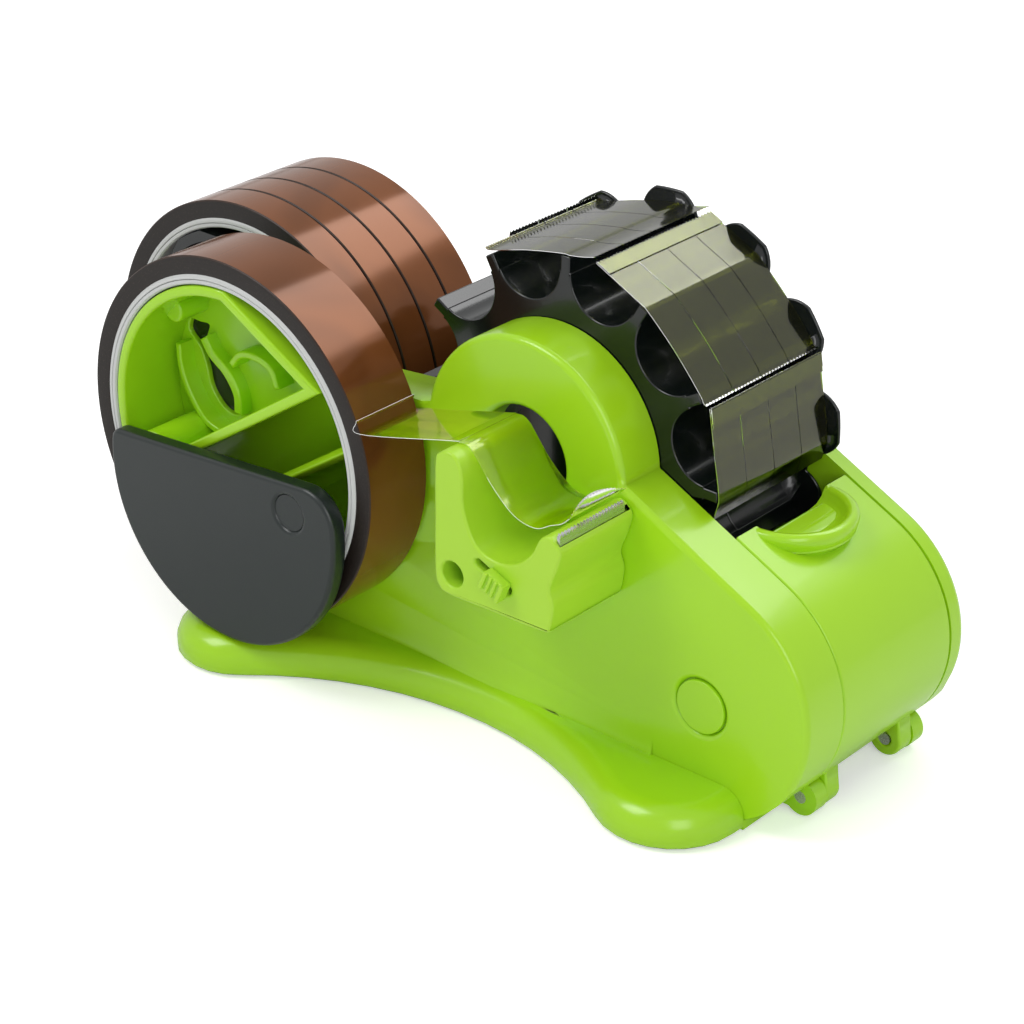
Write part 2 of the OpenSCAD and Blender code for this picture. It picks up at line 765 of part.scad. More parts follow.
// Centre of a corner that is tangent to the disc's rim and to its straight edge
function stop_corner(r) = [sqrt(pow(stop_r - r, 2) - pow(stop_edge - r, 2)), stop_edge - r];
function stop_corner_deg(r) = atan2(stop_corner(r).y, stop_corner(r).x);
stop_right = stop_corner(stop_corner_r);
stop_left = [-stop_corner(stop_heel_r).x, stop_corner(stop_heel_r).y];

module stop_outline() {
    rotate(stop_tilt) polygon(concat(
        arc(stop_left, stop_heel_r, 90, 180 - stop_corner_deg(stop_heel_r), 8),
        arc([0, 0], stop_r, 180 - stop_corner_deg(stop_heel_r), 360 + stop_corner_deg(stop_corner_r), 72),
        arc(stop_right, stop_corner_r, stop_corner_deg(stop_corner_r), 90, 12)));
}

module end_stop() {
    color(slate) translate([stop_c.x, 0, stop_c.y]) difference() {
        across(stop_back_y - stop_t, stop_t) stop_outline();
        // Thumb dimple
        rotate([0, -stop_tilt, 0]) bar(stop_r * 0.62, stop_edge - 1.7 * dimple_r, dimple_r,
            stop_back_y - stop_t - cut, cut + stop_t / 8);
        bar(stop_pivot.x - stop_c.x, stop_pivot.y - stop_c.y, pin_r, stop_back_y - stop_t / 2, stop_t);
    }
}

module stop_pin() {
    color(steel) bar(stop_pivot.x, stop_pivot.y, pin_r, stop_back_y - stop_t / 2,
        stop_gap + stop_t / 2 + wide_tape_w);
}

// A closed curve through points, and its points scaled from shares
function curve_at(a, b, c, d, t) =
    (2 * b + (c - a) * t + (2 * a - 5 * b + 4 * c - d) * t * t + (3 * b - a - 3 * c + d) * t * t * t) / 2;
function smooth(points, steps) = let (n = len(points)) [for (i = [0:n - 1]) for (k = [0:steps - 1])
    curve_at(points[(i + n - 1) % n], points[i], points[(i + 1) % n], points[(i + 2) % n], k / steps)];
function on_bracket(share) = [bracket_x + bracket_w * share.x, bracket_z + post_h * share.y];

// Shares of the bracket's width and of its post's height, once round its outline
bracket_shares = [
    [0.012, 0.89], [0.004, 0.5], [0, 0.14], [0.035, 0.035], [0.13, 0], [0.5, 0.006], [0.93, 0.016],
    [0.99, 0.06], [1.015, 0.22], [0.985, 0.325], [1.04, 0.47], [1.075, 0.6], [1.04, 0.655],
    [0.975, 0.688], [0.9, 0.645], [0.83, 0.52], [0.7, 0.41], [0.53, 0.372], [0.36, 0.43],
    [0.26, 0.64], [0.25, 0.86], [0.21, 0.965], [0.125, 1], [0.045, 0.968]
];
bracket_front_y = stop_back_y - stop_t + shell_t / 2;
bracket_depth = front_y - bracket_front_y;
bracket_wall = 3;
post_screw = on_bracket([0.155, 0.155]);
lip_screw = on_bracket([0.86, 0.17]);
slot_low = on_bracket([0.633, 0.209]);
slot_high = on_bracket([0.385, 0.31]);
slot_w = 2;
slot_len = norm(slot_high - slot_low);
slot_deg = atan2(slot_high.y - slot_low.y, slot_high.x - slot_low.x) - 180;
knob_w = 6;
knob_h = 4.7;
knob_at = slot_low + 0.4 * knob_w * (slot_high - slot_low) / slot_len;
slider_room_share = 0.272;
blade_t = 0.8;
side_teeth = 14;
main_teeth = 26;
side_blade_h = 6;
side_blade_at = on_bracket([1.03, 0.545]);

module bracket() {
    color(pale_lime) difference() {
        across(bracket_front_y, bracket_depth) polygon(smooth([for (s = bracket_shares) on_bracket(s)], 5));
        // Screw well, and the screw from behind
        bar(post_screw.x, post_screw.y, 2 * screw_r, bracket_front_y - cut,
            bracket_depth - bracket_wall + cut);
        bar(post_screw.x, post_screw.y, screw_r + seat_gap / 3, bracket_front_y, bracket_depth + cut);
        bar(lip_screw.x, lip_screw.y, screw_r, front_y - bracket_depth / 3, bracket_depth);
        // Slot for the slider, and the pocket behind it
        across(bracket_front_y - cut, bracket_wall + 2 * cut) slot_outline(slot_w / 2, slot_len);
        translate([slot_high.x - slot_w, bracket_front_y + bracket_wall, bracket_z + slot_w])
            cube([slot_len + slot_w, bracket_depth, post_h * slider_room_share]);
        // Seat of the blade
        translate([side_blade_at.x, bracket_front_y + blade_t, side_blade_at.y])
            cube([blade_t, bracket_depth - shell_t - blade_t, side_blade_h]);
    }
}

module slot_outline(r, length) {
    translate(slot_low) rotate(180 + slot_deg) {
        circle(r);
        translate([0, -r]) square([length, 2 * r]);
        translate([length, 0]) circle(r);
    }
}

// A row of teeth along one edge of a strip
module blade_outline(length, height, teeth) {
    pitch = length / teeth;
    polygon(concat([[0, 0], [length, 0]],
        [for (i = [teeth:-1:0]) for (k = i == 0 ? [0] : [0, 1])
            [(i - k / 2) * pitch, height - (k == 1 ? 0 : pitch / 2)]]));
}

module side_blade() {
    color(steel) translate([side_blade_at.x, bracket_front_y + blade_t, side_blade_at.y])
        rotate([90, 0, 90]) linear_extrude(blade_t)
            blade_outline(bracket_depth - shell_t - blade_t, side_blade_h, side_teeth);
}

module lock_slider() {
    color(pale_lime) {
        translate([knob_at.x, 0, knob_at.y]) rotate([0, -slot_deg, 0]) {
            difference() {
                translate([-knob_w / 2, bracket_front_y - bracket_wall - seat_gap / 3, -knob_h / 2])
                    cube([knob_w, bracket_wall, knob_h]);
                // Thumb grooves
                for (i = [-1:1])
                    translate([(4 * i - 1) * knob_w / 16, bracket_front_y - 2 * bracket_wall, -knob_h])
                        cube([knob_w / 8, bracket_wall + cut, 2 * knob_h]);
            }
            translate([-slot_w, bracket_front_y - seat_gap, -slot_w / 2 + fit])
                cube([2 * slot_w, bracket_wall + 2 * seat_gap, slot_w - 2 * fit]);
        }
    }
}

plate_w = knob_w * 0.54;
plate_h = slot_w * 1.3;
module slider_plate() {
    color(pale_lime) translate([knob_at.x, 0, knob_at.y]) rotate([0, -slot_deg, 0])
        translate([-plate_w / 2, bracket_front_y + bracket_wall + seat_gap, -plate_h / 2])
            cube([plate_w, blade_t, plate_h]);
}

module bracket_screws() {
    color(steel) {
        bar(post_screw.x, post_screw.y, screw_r, front_y - bracket_wall, bracket_wall + 2 * shell_t);
        difference() {
            bar(post_screw.x, post_screw.y, screw_head_r, front_y - bracket_wall - screw_head_t,
                screw_head_t);
            translate([post_screw.x, front_y - bracket_wall - screw_head_t - cut, post_screw.y])
                rotate([-90, 0, 0]) cylinder(r = screw_r, h = cut + screw_head_t / 2, $fn = 6);
        }
        bar(lip_screw.x, lip_screw.y, screw_r, front_y - bracket_wall * 2, bracket_wall * 2 + shell_t);
        bar(lip_screw.x, lip_screw.y, screw_head_r, front_y + shell_t, screw_head_t);
    }
}

// The wide film: off the roll, over the post, down in the valley and over the lip
film_leave_deg = 20;
film_shares = [[0.02, 1.0], [0.12, 1.015], [0.22, 1.0], [0.4, 0.79], [0.58, 0.64], [0.76, 0.62],
    [0.89, 0.68], [0.98, 0.715], [1.06, 0.745]];
module side_film() {
    color(film_colour) across(wide_front_y + strip_gap, wide_tape_w - 2 * strip_gap)
        ribbon(concat([[wide_cx, wide_z] + polar(roll_r + 1.5 * seat_gap, film_leave_deg)],
            [for (s = film_shares) on_bracket(s)]), 1);
}

// The lid follows the ramp and the nose, and turns on pins near the floor
lid_gap = 0.4;
lid_low_deg = -42;
arm_deg = 4;
lid_w = bay_w - 2 * lid_gap;
flange_w = 1.6;
flange_h = 6;

module lid_section(out_r, in_r, top_x) {
    difference() {
        union() {
            intersection() {
                translate([nose_x, nose_r]) circle(out_r);
                translate([nose_x, nose_r]) polygon([[0, 0], polar(4 * nose_r, lid_low_deg),
                    [4 * nose_r, 0], polar(4 * nose_r, ramp_normal)]);
            }
            polygon([[top_x, ramp_z(top_x, nose_r - out_r)], ramp_foot(nose_r - out_r), [nose_x, nose_r]]);
        }
        translate([nose_x, nose_r]) circle(in_r);
        polygon([[top_x - cut, ramp_z(top_x - cut, nose_r - in_r)], ramp_foot(nose_r - in_r),
            [nose_x, nose_r], [nose_x - nose_r, nose_r]]);
    }
}

tab_rim = 2;
tab_h = 3.2;
tab_z = 57.3;
module lid() {
    in_r = nose_r - lid_t;
    color(lime) difference() {
        union() {
            across(bay_front_y + lid_gap, lid_w) lid_section(nose_r, in_r, lid_edge_x);
            // Stiffening flanges beside the sides
            for (y = [bay_front_y + lid_gap, bay_rear_y - lid_gap - flange_w])
                across(y, flange_w) intersection() {
                    lid_section(in_r + cut, in_r - flange_h, lid_edge_x);
                    translate([nose_x + nose_r / 2, 0]) square(2 * nose_r);
                }
            // Finger tab
            intersection() {
                translate([lid_edge_x, bay_mid_y, tab_z]) cylinder(r = tab_r, h = tab_h);
                translate([lid_edge_x, bay_mid_y - 2 * tab_r, 0]) cube(4 * tab_r);
            }
            // Knuckles and their arms
            for (y = knuckle_ys) {
                bar(ear_x, ear_z, knuckle_r, y, knuckle_w);
                across(y, knuckle_w) polygon([[ear_x - knuckle_r, ear_z], [ear_x + knuckle_r, ear_z],
                    [nose_x, nose_r] + polar(nose_r - lid_t / 4, lid_low_deg + arm_deg),
                    [nose_x, nose_r] + polar(in_r + lid_t / 4, lid_low_deg + arm_deg)]);
            }
        }
        // The dish of the tab
        translate([lid_edge_x, bay_mid_y, tab_z + tab_h / 2]) cylinder(r = tab_r - tab_rim, h = nose_r);
        for (y = knuckle_ys) bar(ear_x, ear_z, lid_pin_r + fit, y - cut, knuckle_w + 2 * cut);
    }
}

knuckle_ys = [bay_front_y + ear_w + lid_gap / 2, bay_rear_y - ear_w - lid_gap / 2 - knuckle_w];
module lid_pins() {
    length = ear_w + lid_gap / 2 + knuckle_w;
    color(steel) {
        bar(ear_x, ear_z, lid_pin_r, bay_front_y, length);
        bar(ear_x, ear_z, lid_pin_r, bay_rear_y - length, length);
    }
}

// The bar between the sides that carries the main blade
holder_x = 62.5;
holder_z = 44;
holder_w = 7.5;
holder_h = 8;
main_blade_reach = 1.9;
blade_screw_ys = [bay_mid_y - bay_w * 0.34, bay_mid_y, bay_mid_y + bay_w * 0.34];
module blade_holder() {
    color(black) difference() {
        translate([holder_x, bay_front_y, holder_z]) cube([holder_w, bay_w, holder_h]);
        for (y = blade_screw_ys) translate([holder_x + holder_w / 2, y, holder_z + holder_h / 3])
            cylinder(r = screw_r, h = holder_h);
    }
}

module main_blade() {
    reach = holder_w * 0.86 + main_blade_reach;
    color(steel) difference() {
        translate([holder_x - main_blade_reach + reach, bay_front_y + seat_gap, holder_z + holder_h])
            rotate([0, 0, 90]) linear_extrude(blade_t)
                blade_outline(bay_w - 2 * seat_gap, reach, main_teeth);
        for (y = blade_screw_ys) translate([holder_x + holder_w / 2, y, holder_z])
            cylinder(r = screw_r + seat_gap / 3, h = 2 * holder_h);
    }
}

module blade_screws() {
    color(steel) for (y = blade_screw_ys) translate([holder_x + holder_w / 2, y, holder_z + holder_h]) {
        translate([0, 0, -holder_h / 2]) cylinder(r = screw_r, h = holder_h / 2 + blade_t);
        difference() {
            translate([0, 0, blade_t]) cylinder(r = screw_head_r * 0.86, h = screw_head_t * 0.7);
            translate([0, 0, blade_t + screw_head_t * 0.35])
                cylinder(r = screw_r * 0.86, h = holder_h, $fn = 6);
        }
    }
}

base();
skirt_front();
skirt_rear();
base_cover();
grip_pad();
rubber_feet();
base_screws();
front_side();
front_liner();
rear_side();
liner_screws();
screw_cap();
wheel_front();
wheel_rear();
wheel_sleeve();
sleeve_caps();
wheel_tape_1();
wheel_tape_2();
wheel_tape_3();
wheel_tape_4();
feed_film();
hub_front();
hub_rear();
hub_tube();
narrow_core(0);  // core_1
narrow_core(1);  // core_2
narrow_core(2);  // core_3
narrow_core(3);  // core_4
narrow_roll(0);  // roll_1
narrow_roll(1);  // roll_2
narrow_roll(2);  // roll_3
narrow_roll(3);  // roll_4
wide_core();
wide_roll();
end_stop();
stop_pin();
bracket();
side_blade();
lock_slider();
slider_plate();
bracket_screws();
side_film();
lid();
lid_pins();
blade_holder();
main_blade();
blade_screws();
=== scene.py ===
"""Looks of the counter-top heat tape dispenser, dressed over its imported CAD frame."""

import json
import math

import bmesh
import bpy
from mathutils import Matrix, Vector


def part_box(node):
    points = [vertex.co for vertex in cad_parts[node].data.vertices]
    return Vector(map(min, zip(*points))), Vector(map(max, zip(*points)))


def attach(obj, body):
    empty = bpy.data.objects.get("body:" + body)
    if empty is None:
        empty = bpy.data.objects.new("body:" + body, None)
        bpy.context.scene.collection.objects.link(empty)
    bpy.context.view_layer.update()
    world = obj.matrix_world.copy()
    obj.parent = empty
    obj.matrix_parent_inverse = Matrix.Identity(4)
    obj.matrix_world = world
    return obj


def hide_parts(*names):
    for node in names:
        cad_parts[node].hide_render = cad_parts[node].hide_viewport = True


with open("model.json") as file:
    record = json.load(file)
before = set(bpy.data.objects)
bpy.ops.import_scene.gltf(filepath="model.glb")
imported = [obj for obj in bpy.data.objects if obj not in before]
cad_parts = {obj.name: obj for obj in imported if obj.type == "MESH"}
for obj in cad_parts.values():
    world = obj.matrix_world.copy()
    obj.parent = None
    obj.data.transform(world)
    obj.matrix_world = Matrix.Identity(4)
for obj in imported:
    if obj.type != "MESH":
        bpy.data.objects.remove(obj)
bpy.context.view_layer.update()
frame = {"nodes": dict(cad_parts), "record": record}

bl_info = {
    "name": "Heat Tape Dispenser",
    "version": (1, 0, 0),
    "blender": (4, 5, 0),
    "location": "3D View > Sidebar > Dispenser",
    "description": "Dresses the packed tape dispenser with shells, rolls, film and finishes",
    "category": "Object",
}

# All sizes below are in millimetres and all angles in degrees, unless a comment says otherwise
MM = 0.001
HOUSING, WHEEL, NARROW, WIDE, STOP, COVER, LOCK = (
    "housing", "wheel", "narrow_reel", "wide_reel", "stop", "cover", "lock")

# Bore of every core, which the lime seat fills
CORE_BORE = 76.2

# What counts as one point (metres), as a sharp edge, and as lying on a plane
CAD_JOIN = 2e-6
SPUN_JOIN = 1e-6
SHARP_TURN = 40.0
ON_PLANE = 0.05

# Side shells: a height that only their walls reach, the rounding of the cup's rim, the shoulder's
# height over the liner's lower edge, and where the rounding of the outer edges starts
WALL_Z = 60
RIM_EDGE = 0.8
SHOULDER_Z = 67.0
ROUNDED_FROM_Z = 15

# Flare over the foot: heights of its top and its lower rim, how deep the rim is set into the
# foot, the run that fades at each end, and the share of its reach that is left there
FLARE_TOP_Z = 17
FLARE_RIM_Z = 10
FLARE_SET_IN = 0.8
FLARE_END = 1
FLARE_LEFT = 0.2

# Cup in the wide roll: how far its floor stands before the roll's back, the thickness of its
# wall and floor, and its two straight sides as (direction, distance from the axis)
CUP_FLOOR_IN = 1.1
CUP_WALL = 2.8
CUP_FLOOR = 1.6
CUP_SIDES = ((61.0, 30.6), (-56.3, -3.6))

# How far the ribs and the boss reach into the cup's floor
CUP_ROOT = 0.8

# Keyhole in the cup's floor, as a loop of (x, z)
KEYHOLE = (
    (-86.8, 75.7), (-83.6, 75.6), (-80.6, 75.6), (-81.6, 72.2), (-80.0, 69.2), (-75.6, 66.8),
    (-72.2, 63.2), (-70.8, 58.4), (-72.0, 54.9), (-76.6, 55.2), (-80.6, 59.3), (-81.9, 64.4),
    (-83.8, 69.0), (-87.4, 72.4))

# Ribs on the cup's floor: name, half width, height and line of (x, z)
CUP_RIBS = (
    ("cup_lip", 1.3, 3.4,
     ((-79.4, 73.8), (-76.8, 70.2), (-72.2, 67.0), (-68.8, 62.2), (-68.6, 57.2))),
    ("cup_cheek", 0.9, 5.0,
     ((-68.6, 70.4), (-65.6, 73.7), (-61.0, 74.6), (-55.6, 73.1), (-53.4, 68.6))),
    ("cup_leaf", 0.9, 4.4,
     ((-87.2, 70.4), (-86.6, 63.9), (-83.6, 57.4), (-79.0, 52.5), (-73.2, 50.8))),
)

# Boss on the cup's floor: x, z, radius and height
CUP_BOSS = (-83.2, 81.6, 3.1, 9)

# Sheets on the wheel: line of (angle, radius), whether the band is doubled, saw depth at both
# ends, and band length
SHEETS = (
    (((119.3, 45.4), (117.4, 44.3), (104, 43.3), (90.7, 43.9), (87.3, 44.1), (83, 44.9),
      (78.6, 46.4)), False, (0.0, 0.6), 0.0),
    (((78, 45.2), (73, 44.4), (60.7, 43.9), (57.3, 43.9), (44, 43.2), (30.7, 43.9), (27.5, 44.1),
      (26.3, 44.6)), False, (0.6, 0.6), 5.2),
    (((25.6, 45.2), (21, 44.3), (12, 43.4), (0.7, 43.9), (-2.7, 43.9), (-8, 43.2)),
     True, (0.0, 0.0), 5.6),
    (((134, 43.6), (128, 43.4), (123, 44.4), (120.4, 46.4)), False, (0.0, 0.5), 0.0),
)

# Strips of a sheet: pitch, width, and how far the first stands out past the sheet's node
STRIP_PITCH = 10
STRIP_WIDTH = 9.78
STRIP_OUT = 0.1

# Band that is folded over a sheet's start: its height over the sheet and the shift of its second
# layer in x and z
BAND_LIFT = 0.3
BAND_SHIFT = (0.1, 0.25)

# Side film: gap to the roll, angles on the roll that it leaves from, and its line over the
# bracket in shares of the bracket's width (without the blade's lip) and height
SIDE_FILM_GAP = 0.25
SIDE_FILM_LEAVES = (24, 20)
BRACKET_LIP_SHARE = 1.075
SIDE_FILM = ((0.02, 1.0), (0.12, 1.02), (0.22, 1.0), (0.4, 0.8), (0.58, 0.66), (0.76, 0.63),
             (0.89, 0.69), (0.98, 0.73), (1.05, 0.79))

# Curl of the side film's end: share of the length where it starts, and height
CURL_FROM = 0.86
CURL_HEIGHT = 2.6

# Small blade: pitch and depth of its teeth
TOOTH_PITCH = 1.0
TOOTH_DEPTH = 0.9

# Finger bowl: how far its datum lies under the cover's highest point, and its section as
# (radius, height over the datum)
BOWL_DROP = 2.7
BOWL_SECTION = (
    (0.0, -1.6), (6.0, -1.5), (9.6, -0.9), (11.4, 0.3), (12.1, 1.5), (12.8, 2.2), (13.8, 2.4),
    (14.8, 1.9), (15.1, 0.7), (14.7, -1.2), (13.0, -3.6), (9.6, -5.6), (4.0, -6.6), (0.0, -6.8))

# Rolls: rounding of their outer edges, and steps of a full turn
ROLL_EDGE = 0.3
ROLL_STEPS = 160

# Lamps: name, place and size in metres, and power in watts
LAMPS = (
    ("key", (-0.55, -0.75, 1.25), (0.7, 0.7), 9.0),
    ("fill", (1.0, -0.75, 0.7), (0.6, 0.9), 5.0),
    ("top", (0.15, 0.75, 1.1), (1.0, 0.5), 6.0))
LAMP_TARGET = (-0.01, 0.0, 0.05)

# Camera, as solved from the photograph: place, turn to the left, look down, and lens
CAMERA_PLACE = (387.29, -462.63, 349.02)
CAMERA_TURN = 40.923
CAMERA_DOWN = 27.096
CAMERA_LENS = 101.95


def node_box(node):
    """Lowest and highest corner of a CAD node in millimetres."""
    low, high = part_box(node)
    return low / MM, high / MM


def node_axis(*nodes):
    """X and Z of the axis that a turned node or group runs round, in millimetres."""
    boxes = [node_box(node) for node in nodes]
    low_x, high_x = min(b[0].x for b in boxes), max(b[1].x for b in boxes)
    low_z, high_z = min(b[0].z for b in boxes), max(b[1].z for b in boxes)
    return (low_x + high_x) / 2, (low_z + high_z) / 2


def node_radius(node):
    """Outer radius of a round node that turns about Y, in millimetres."""
    low, high = node_box(node)
    return (high.x - low.x) / 2


def srgb(red, green, blue):
    """A linear colour from 8-bit screen values."""
    def linear(value):
        value /= 255
        return value / 12.92 if value <= 0.04045 else ((value + 0.055) / 1.055) ** 2.4
    return linear(red), linear(green), linear(blue)


# ---------------------------------------------------------------- settings

def length_setting(name, description, default_mm):
    return bpy.props.FloatProperty(
        name=name, description=description, default=default_mm * MM, min=0.0,
        unit="LENGTH", subtype="DISTANCE", precision=5)


def colour_setting(name, description, value):
    return bpy.props.FloatVectorProperty(
        name=name, description=description, default=value, size=3, min=0.0, max=1.0,
        subtype="COLOR")


class DispenserSizes(bpy.types.PropertyGroup):
    """Sizes of the finer forms"""
    shell_edge: length_setting("Shell edge", "Rounding of the side shells' outer edges", 1.5)
    cover_edge: length_setting("Cover edge", "Rounding of the nose cover's edges", 0.6)
    plate_edge: length_setting("Plate edge", "Rounding of the end stop's edges", 1.1)
    bracket_edge: length_setting("Bracket edge", "Rounding of the side cutter's edges", 0.7)
    lobe_edge: length_setting("Lobe edge", "Rounding of the wheel's edges", 0.4)
    film_thickness: length_setting("Film thickness", "Thickness of the tape film", 0.12)


class DispenserColours(bpy.types.PropertyGroup):
    """Colours of the finishes"""
    lime: colour_setting("Lime", "Housing plastic", srgb(166, 220, 28))
    pale_lime: colour_setting("Pale lime", "Side cutter's plastic", srgb(174, 222, 50))
    black: colour_setting("Black", "Wheel and hub plastic", srgb(11, 17, 17))
    slate: colour_setting("Slate", "End stop plastic", srgb(27, 35, 34))
    rubber: colour_setting("Rubber", "Feet and grip pad", srgb(38, 38, 40))
    copper: colour_setting("Copper", "Wound tape seen from outside", srgb(126, 74, 38))
    wound: colour_setting("Wound edge", "Wound tape seen from its side", srgb(30, 24, 20))
    film: colour_setting("Film", "Tint of the tape film", (0.70, 0.74, 0.10))
    card: colour_setting("Card", "Roll cores", srgb(214, 216, 214))
    steel: colour_setting("Steel", "Blades and screws", (0.62, 0.62, 0.63))


def sizes():
    return bpy.context.scene.dispenser_sizes


def colours():
    return bpy.context.scene.dispenser_colours


# ---------------------------------------------------------------- node groups and finishes

def fresh_group(name, inputs, outputs):
    """A shader node group with named sockets: (name, type, default) for each input."""
    group = bpy.data.node_groups.new(name, "ShaderNodeTree")
    for label, kind, default in inputs:
        socket = group.interface.new_socket(name=label, in_out="INPUT", socket_type=kind)
        if default is not None:
            socket.default_value = default
    for label, kind in outputs:
        group.interface.new_socket(name=label, in_out="OUTPUT", socket_type=kind)
    return group, group.nodes.new("NodeGroupInput"), group.nodes.new("NodeGroupOutput")


def math_node(nodes, operation, *values):
    node = nodes.new("ShaderNodeMath")
    node.operation = operation
    for i, value in enumerate(values):
        if value is not None:
            node.inputs[i].default_value = value
    return node


def mix_colour(nodes):
    node = nodes.new("ShaderNodeMix")
    node.data_type = "RGBA"
    return node


def shade(colour, share=1.0):
    """A colour times a share, as a shader colour."""
    return (*[c * share for c in colour], 1)


def noise_node(nodes, links, vector, scale, detail=2.0, distortion=0.0):
    node = nodes.new("ShaderNodeTexNoise")
    for label, value in (("Scale", scale), ("Detail", detail), ("Distortion", distortion)):
        node.inputs[label].default_value = value
    links.new(vector, node.inputs["Vector"])
    return node


def remapped(nodes, links, value, low, high, start=0.0, end=1.0):
    """A socket that runs from low to high while a value runs from start to end."""
    node = nodes.new("ShaderNodeMapRange")
    for label, number in (("From Min", start), ("From Max", end), ("To Min", low),
                          ("To Max", high)):
        node.inputs[label].default_value = number
    links.new(value, node.inputs["Value"])
    return node.outputs["Result"]


def add_bump(nodes, links, height, strength, distance, target):
    """Links a bump to a normal socket; distance in millimetres."""
    node = nodes.new("ShaderNodeBump")
    node.inputs["Strength"].default_value = strength
    node.inputs["Distance"].default_value = distance * MM
    links.new(height, node.inputs["Height"])
    links.new(node.outputs["Normal"], target)
    return node


def moulding_group():
    """Moulded plastic: flow marks in the colour, smears in the gloss, fine skin and soft waves."""
    name = "Moulding skin"
    if name in bpy.data.node_groups:
        return bpy.data.node_groups[name]
    group, source, sink = fresh_group(name, [
        ("Vector", "NodeSocketVector", None),
        ("Colour", "NodeSocketColor", (0.5, 0.5, 0.5, 1)),
        ("Deep", "NodeSocketColor", (0.4, 0.4, 0.4, 1)),
        ("Flow", "NodeSocketFloat", 0.25), ("Roughness", "NodeSocketFloat", 0.2),
        ("Smear", "NodeSocketFloat", 0.08), ("Skin", "NodeSocketFloat", 0.05),
        ("Skin scale", "NodeSocketFloat", 1500.0), ("Wave", "NodeSocketFloat", 0.1),
    ], [("Colour", "NodeSocketColor"), ("Roughness", "NodeSocketFloat"),
        ("Normal", "NodeSocketVector")])
    nodes, links = group.nodes, group.links
    vector = source.outputs["Vector"]
    flow = noise_node(nodes, links, vector, 22.0, 3.0, 0.6)
    smear = noise_node(nodes, links, vector, 70.0, 5.0)
    skin = noise_node(nodes, links, vector, 1500.0)
    wave = noise_node(nodes, links, vector, 35.0)
    links.new(source.outputs["Skin scale"], skin.inputs["Scale"])
    share = math_node(nodes, "MULTIPLY")
    links.new(flow.outputs["Fac"], share.inputs[0])
    links.new(source.outputs["Flow"], share.inputs[1])
    colour = mix_colour(nodes)
    links.new(share.outputs[0], colour.inputs["Factor"])
    links.new(source.outputs["Colour"], colour.inputs["A"])
    links.new(source.outputs["Deep"], colour.inputs["B"])
    links.new(colour.outputs["Result"], sink.inputs["Colour"])
    centred = math_node(nodes, "SUBTRACT", None, 0.5)
    links.new(smear.outputs["Fac"], centred.inputs[0])
    rough = math_node(nodes, "MULTIPLY_ADD")
    links.new(centred.outputs[0], rough.inputs[0])
    links.new(source.outputs["Smear"], rough.inputs[1])
    links.new(source.outputs["Roughness"], rough.inputs[2])
    links.new(rough.outputs[0], sink.inputs["Roughness"])
    fine = add_bump(nodes, links, skin.outputs["Fac"], 1.0, 0.05, sink.inputs["Normal"])
    links.new(source.outputs["Skin"], fine.inputs["Strength"])
    broad = add_bump(nodes, links, wave.outputs["Fac"], 1.0, 0.6, fine.inputs["Normal"])
    links.new(source.outputs["Wave"], broad.inputs["Strength"])
    return group


def rings_group():
    """Fine rings round an axis along Y, as wound layers show on the side of a roll."""
    name = "Wound layers"
    if name in bpy.data.node_groups:
        return bpy.data.node_groups[name]
    group, source, sink = fresh_group(name, [
        ("Vector", "NodeSocketVector", None), ("Rings", "NodeSocketFloat", 2500.0),
        ("Speckle", "NodeSocketFloat", 900.0),
    ], [("Layers", "NodeSocketFloat"), ("Specks", "NodeSocketFloat")])
    nodes, links = group.nodes, group.links
    parts = nodes.new("ShaderNodeSeparateXYZ")
    links.new(source.outputs["Vector"], parts.inputs[0])
    flat = nodes.new("ShaderNodeCombineXYZ")
    links.new(parts.outputs["X"], flat.inputs["X"])
    links.new(parts.outputs["Z"], flat.inputs["Z"])
    radius = nodes.new("ShaderNodeVectorMath")
    radius.operation = "LENGTH"
    links.new(flat.outputs[0], radius.inputs[0])
    scaled = math_node(nodes, "MULTIPLY")
    links.new(radius.outputs["Value"], scaled.inputs[0])
    links.new(source.outputs["Rings"], scaled.inputs[1])
    layers = nodes.new("ShaderNodeTexNoise")
    layers.noise_dimensions = "1D"
    layers.inputs["Scale"].default_value = 1.0
    layers.inputs["Detail"].default_value = 3.0
    links.new(scaled.outputs[0], layers.inputs["W"])
    links.new(layers.outputs["Fac"], sink.inputs["Layers"])
    specks = nodes.new("ShaderNodeTexVoronoi")
    links.new(source.outputs["Vector"], specks.inputs["Vector"])
    links.new(source.outputs["Speckle"], specks.inputs["Scale"])
    links.new(remapped(nodes, links, specks.outputs["Distance"], 0.0, 1.0, 0.28, 0.12),
              sink.inputs["Specks"])
    return group


def rings_node(nodes, links, vector, rings, speckle=900.0):
    node = nodes.new("ShaderNodeGroup")
    node.node_tree = rings_group()
    node.inputs["Rings"].default_value = rings
    node.inputs["Speckle"].default_value = speckle
    links.new(vector, node.inputs["Vector"])
    return node


def fresh_material(name):
    material = bpy.data.materials.new(name)
    material.use_nodes = True
    nodes = material.node_tree.nodes
    return material, nodes, material.node_tree.links, nodes["Principled BSDF"]


def object_vector(nodes, links, centre=(0.0, 0.0, 0.0)):
    """Object coordinates, moved so that centre (metres) is their origin."""
    place = nodes.new("ShaderNodeTexCoord")
    mapping = nodes.new("ShaderNodeMapping")
    mapping.inputs["Location"].default_value = [-c for c in centre]
    links.new(place.outputs["Object"], mapping.inputs["Vector"])
    return mapping.outputs["Vector"]


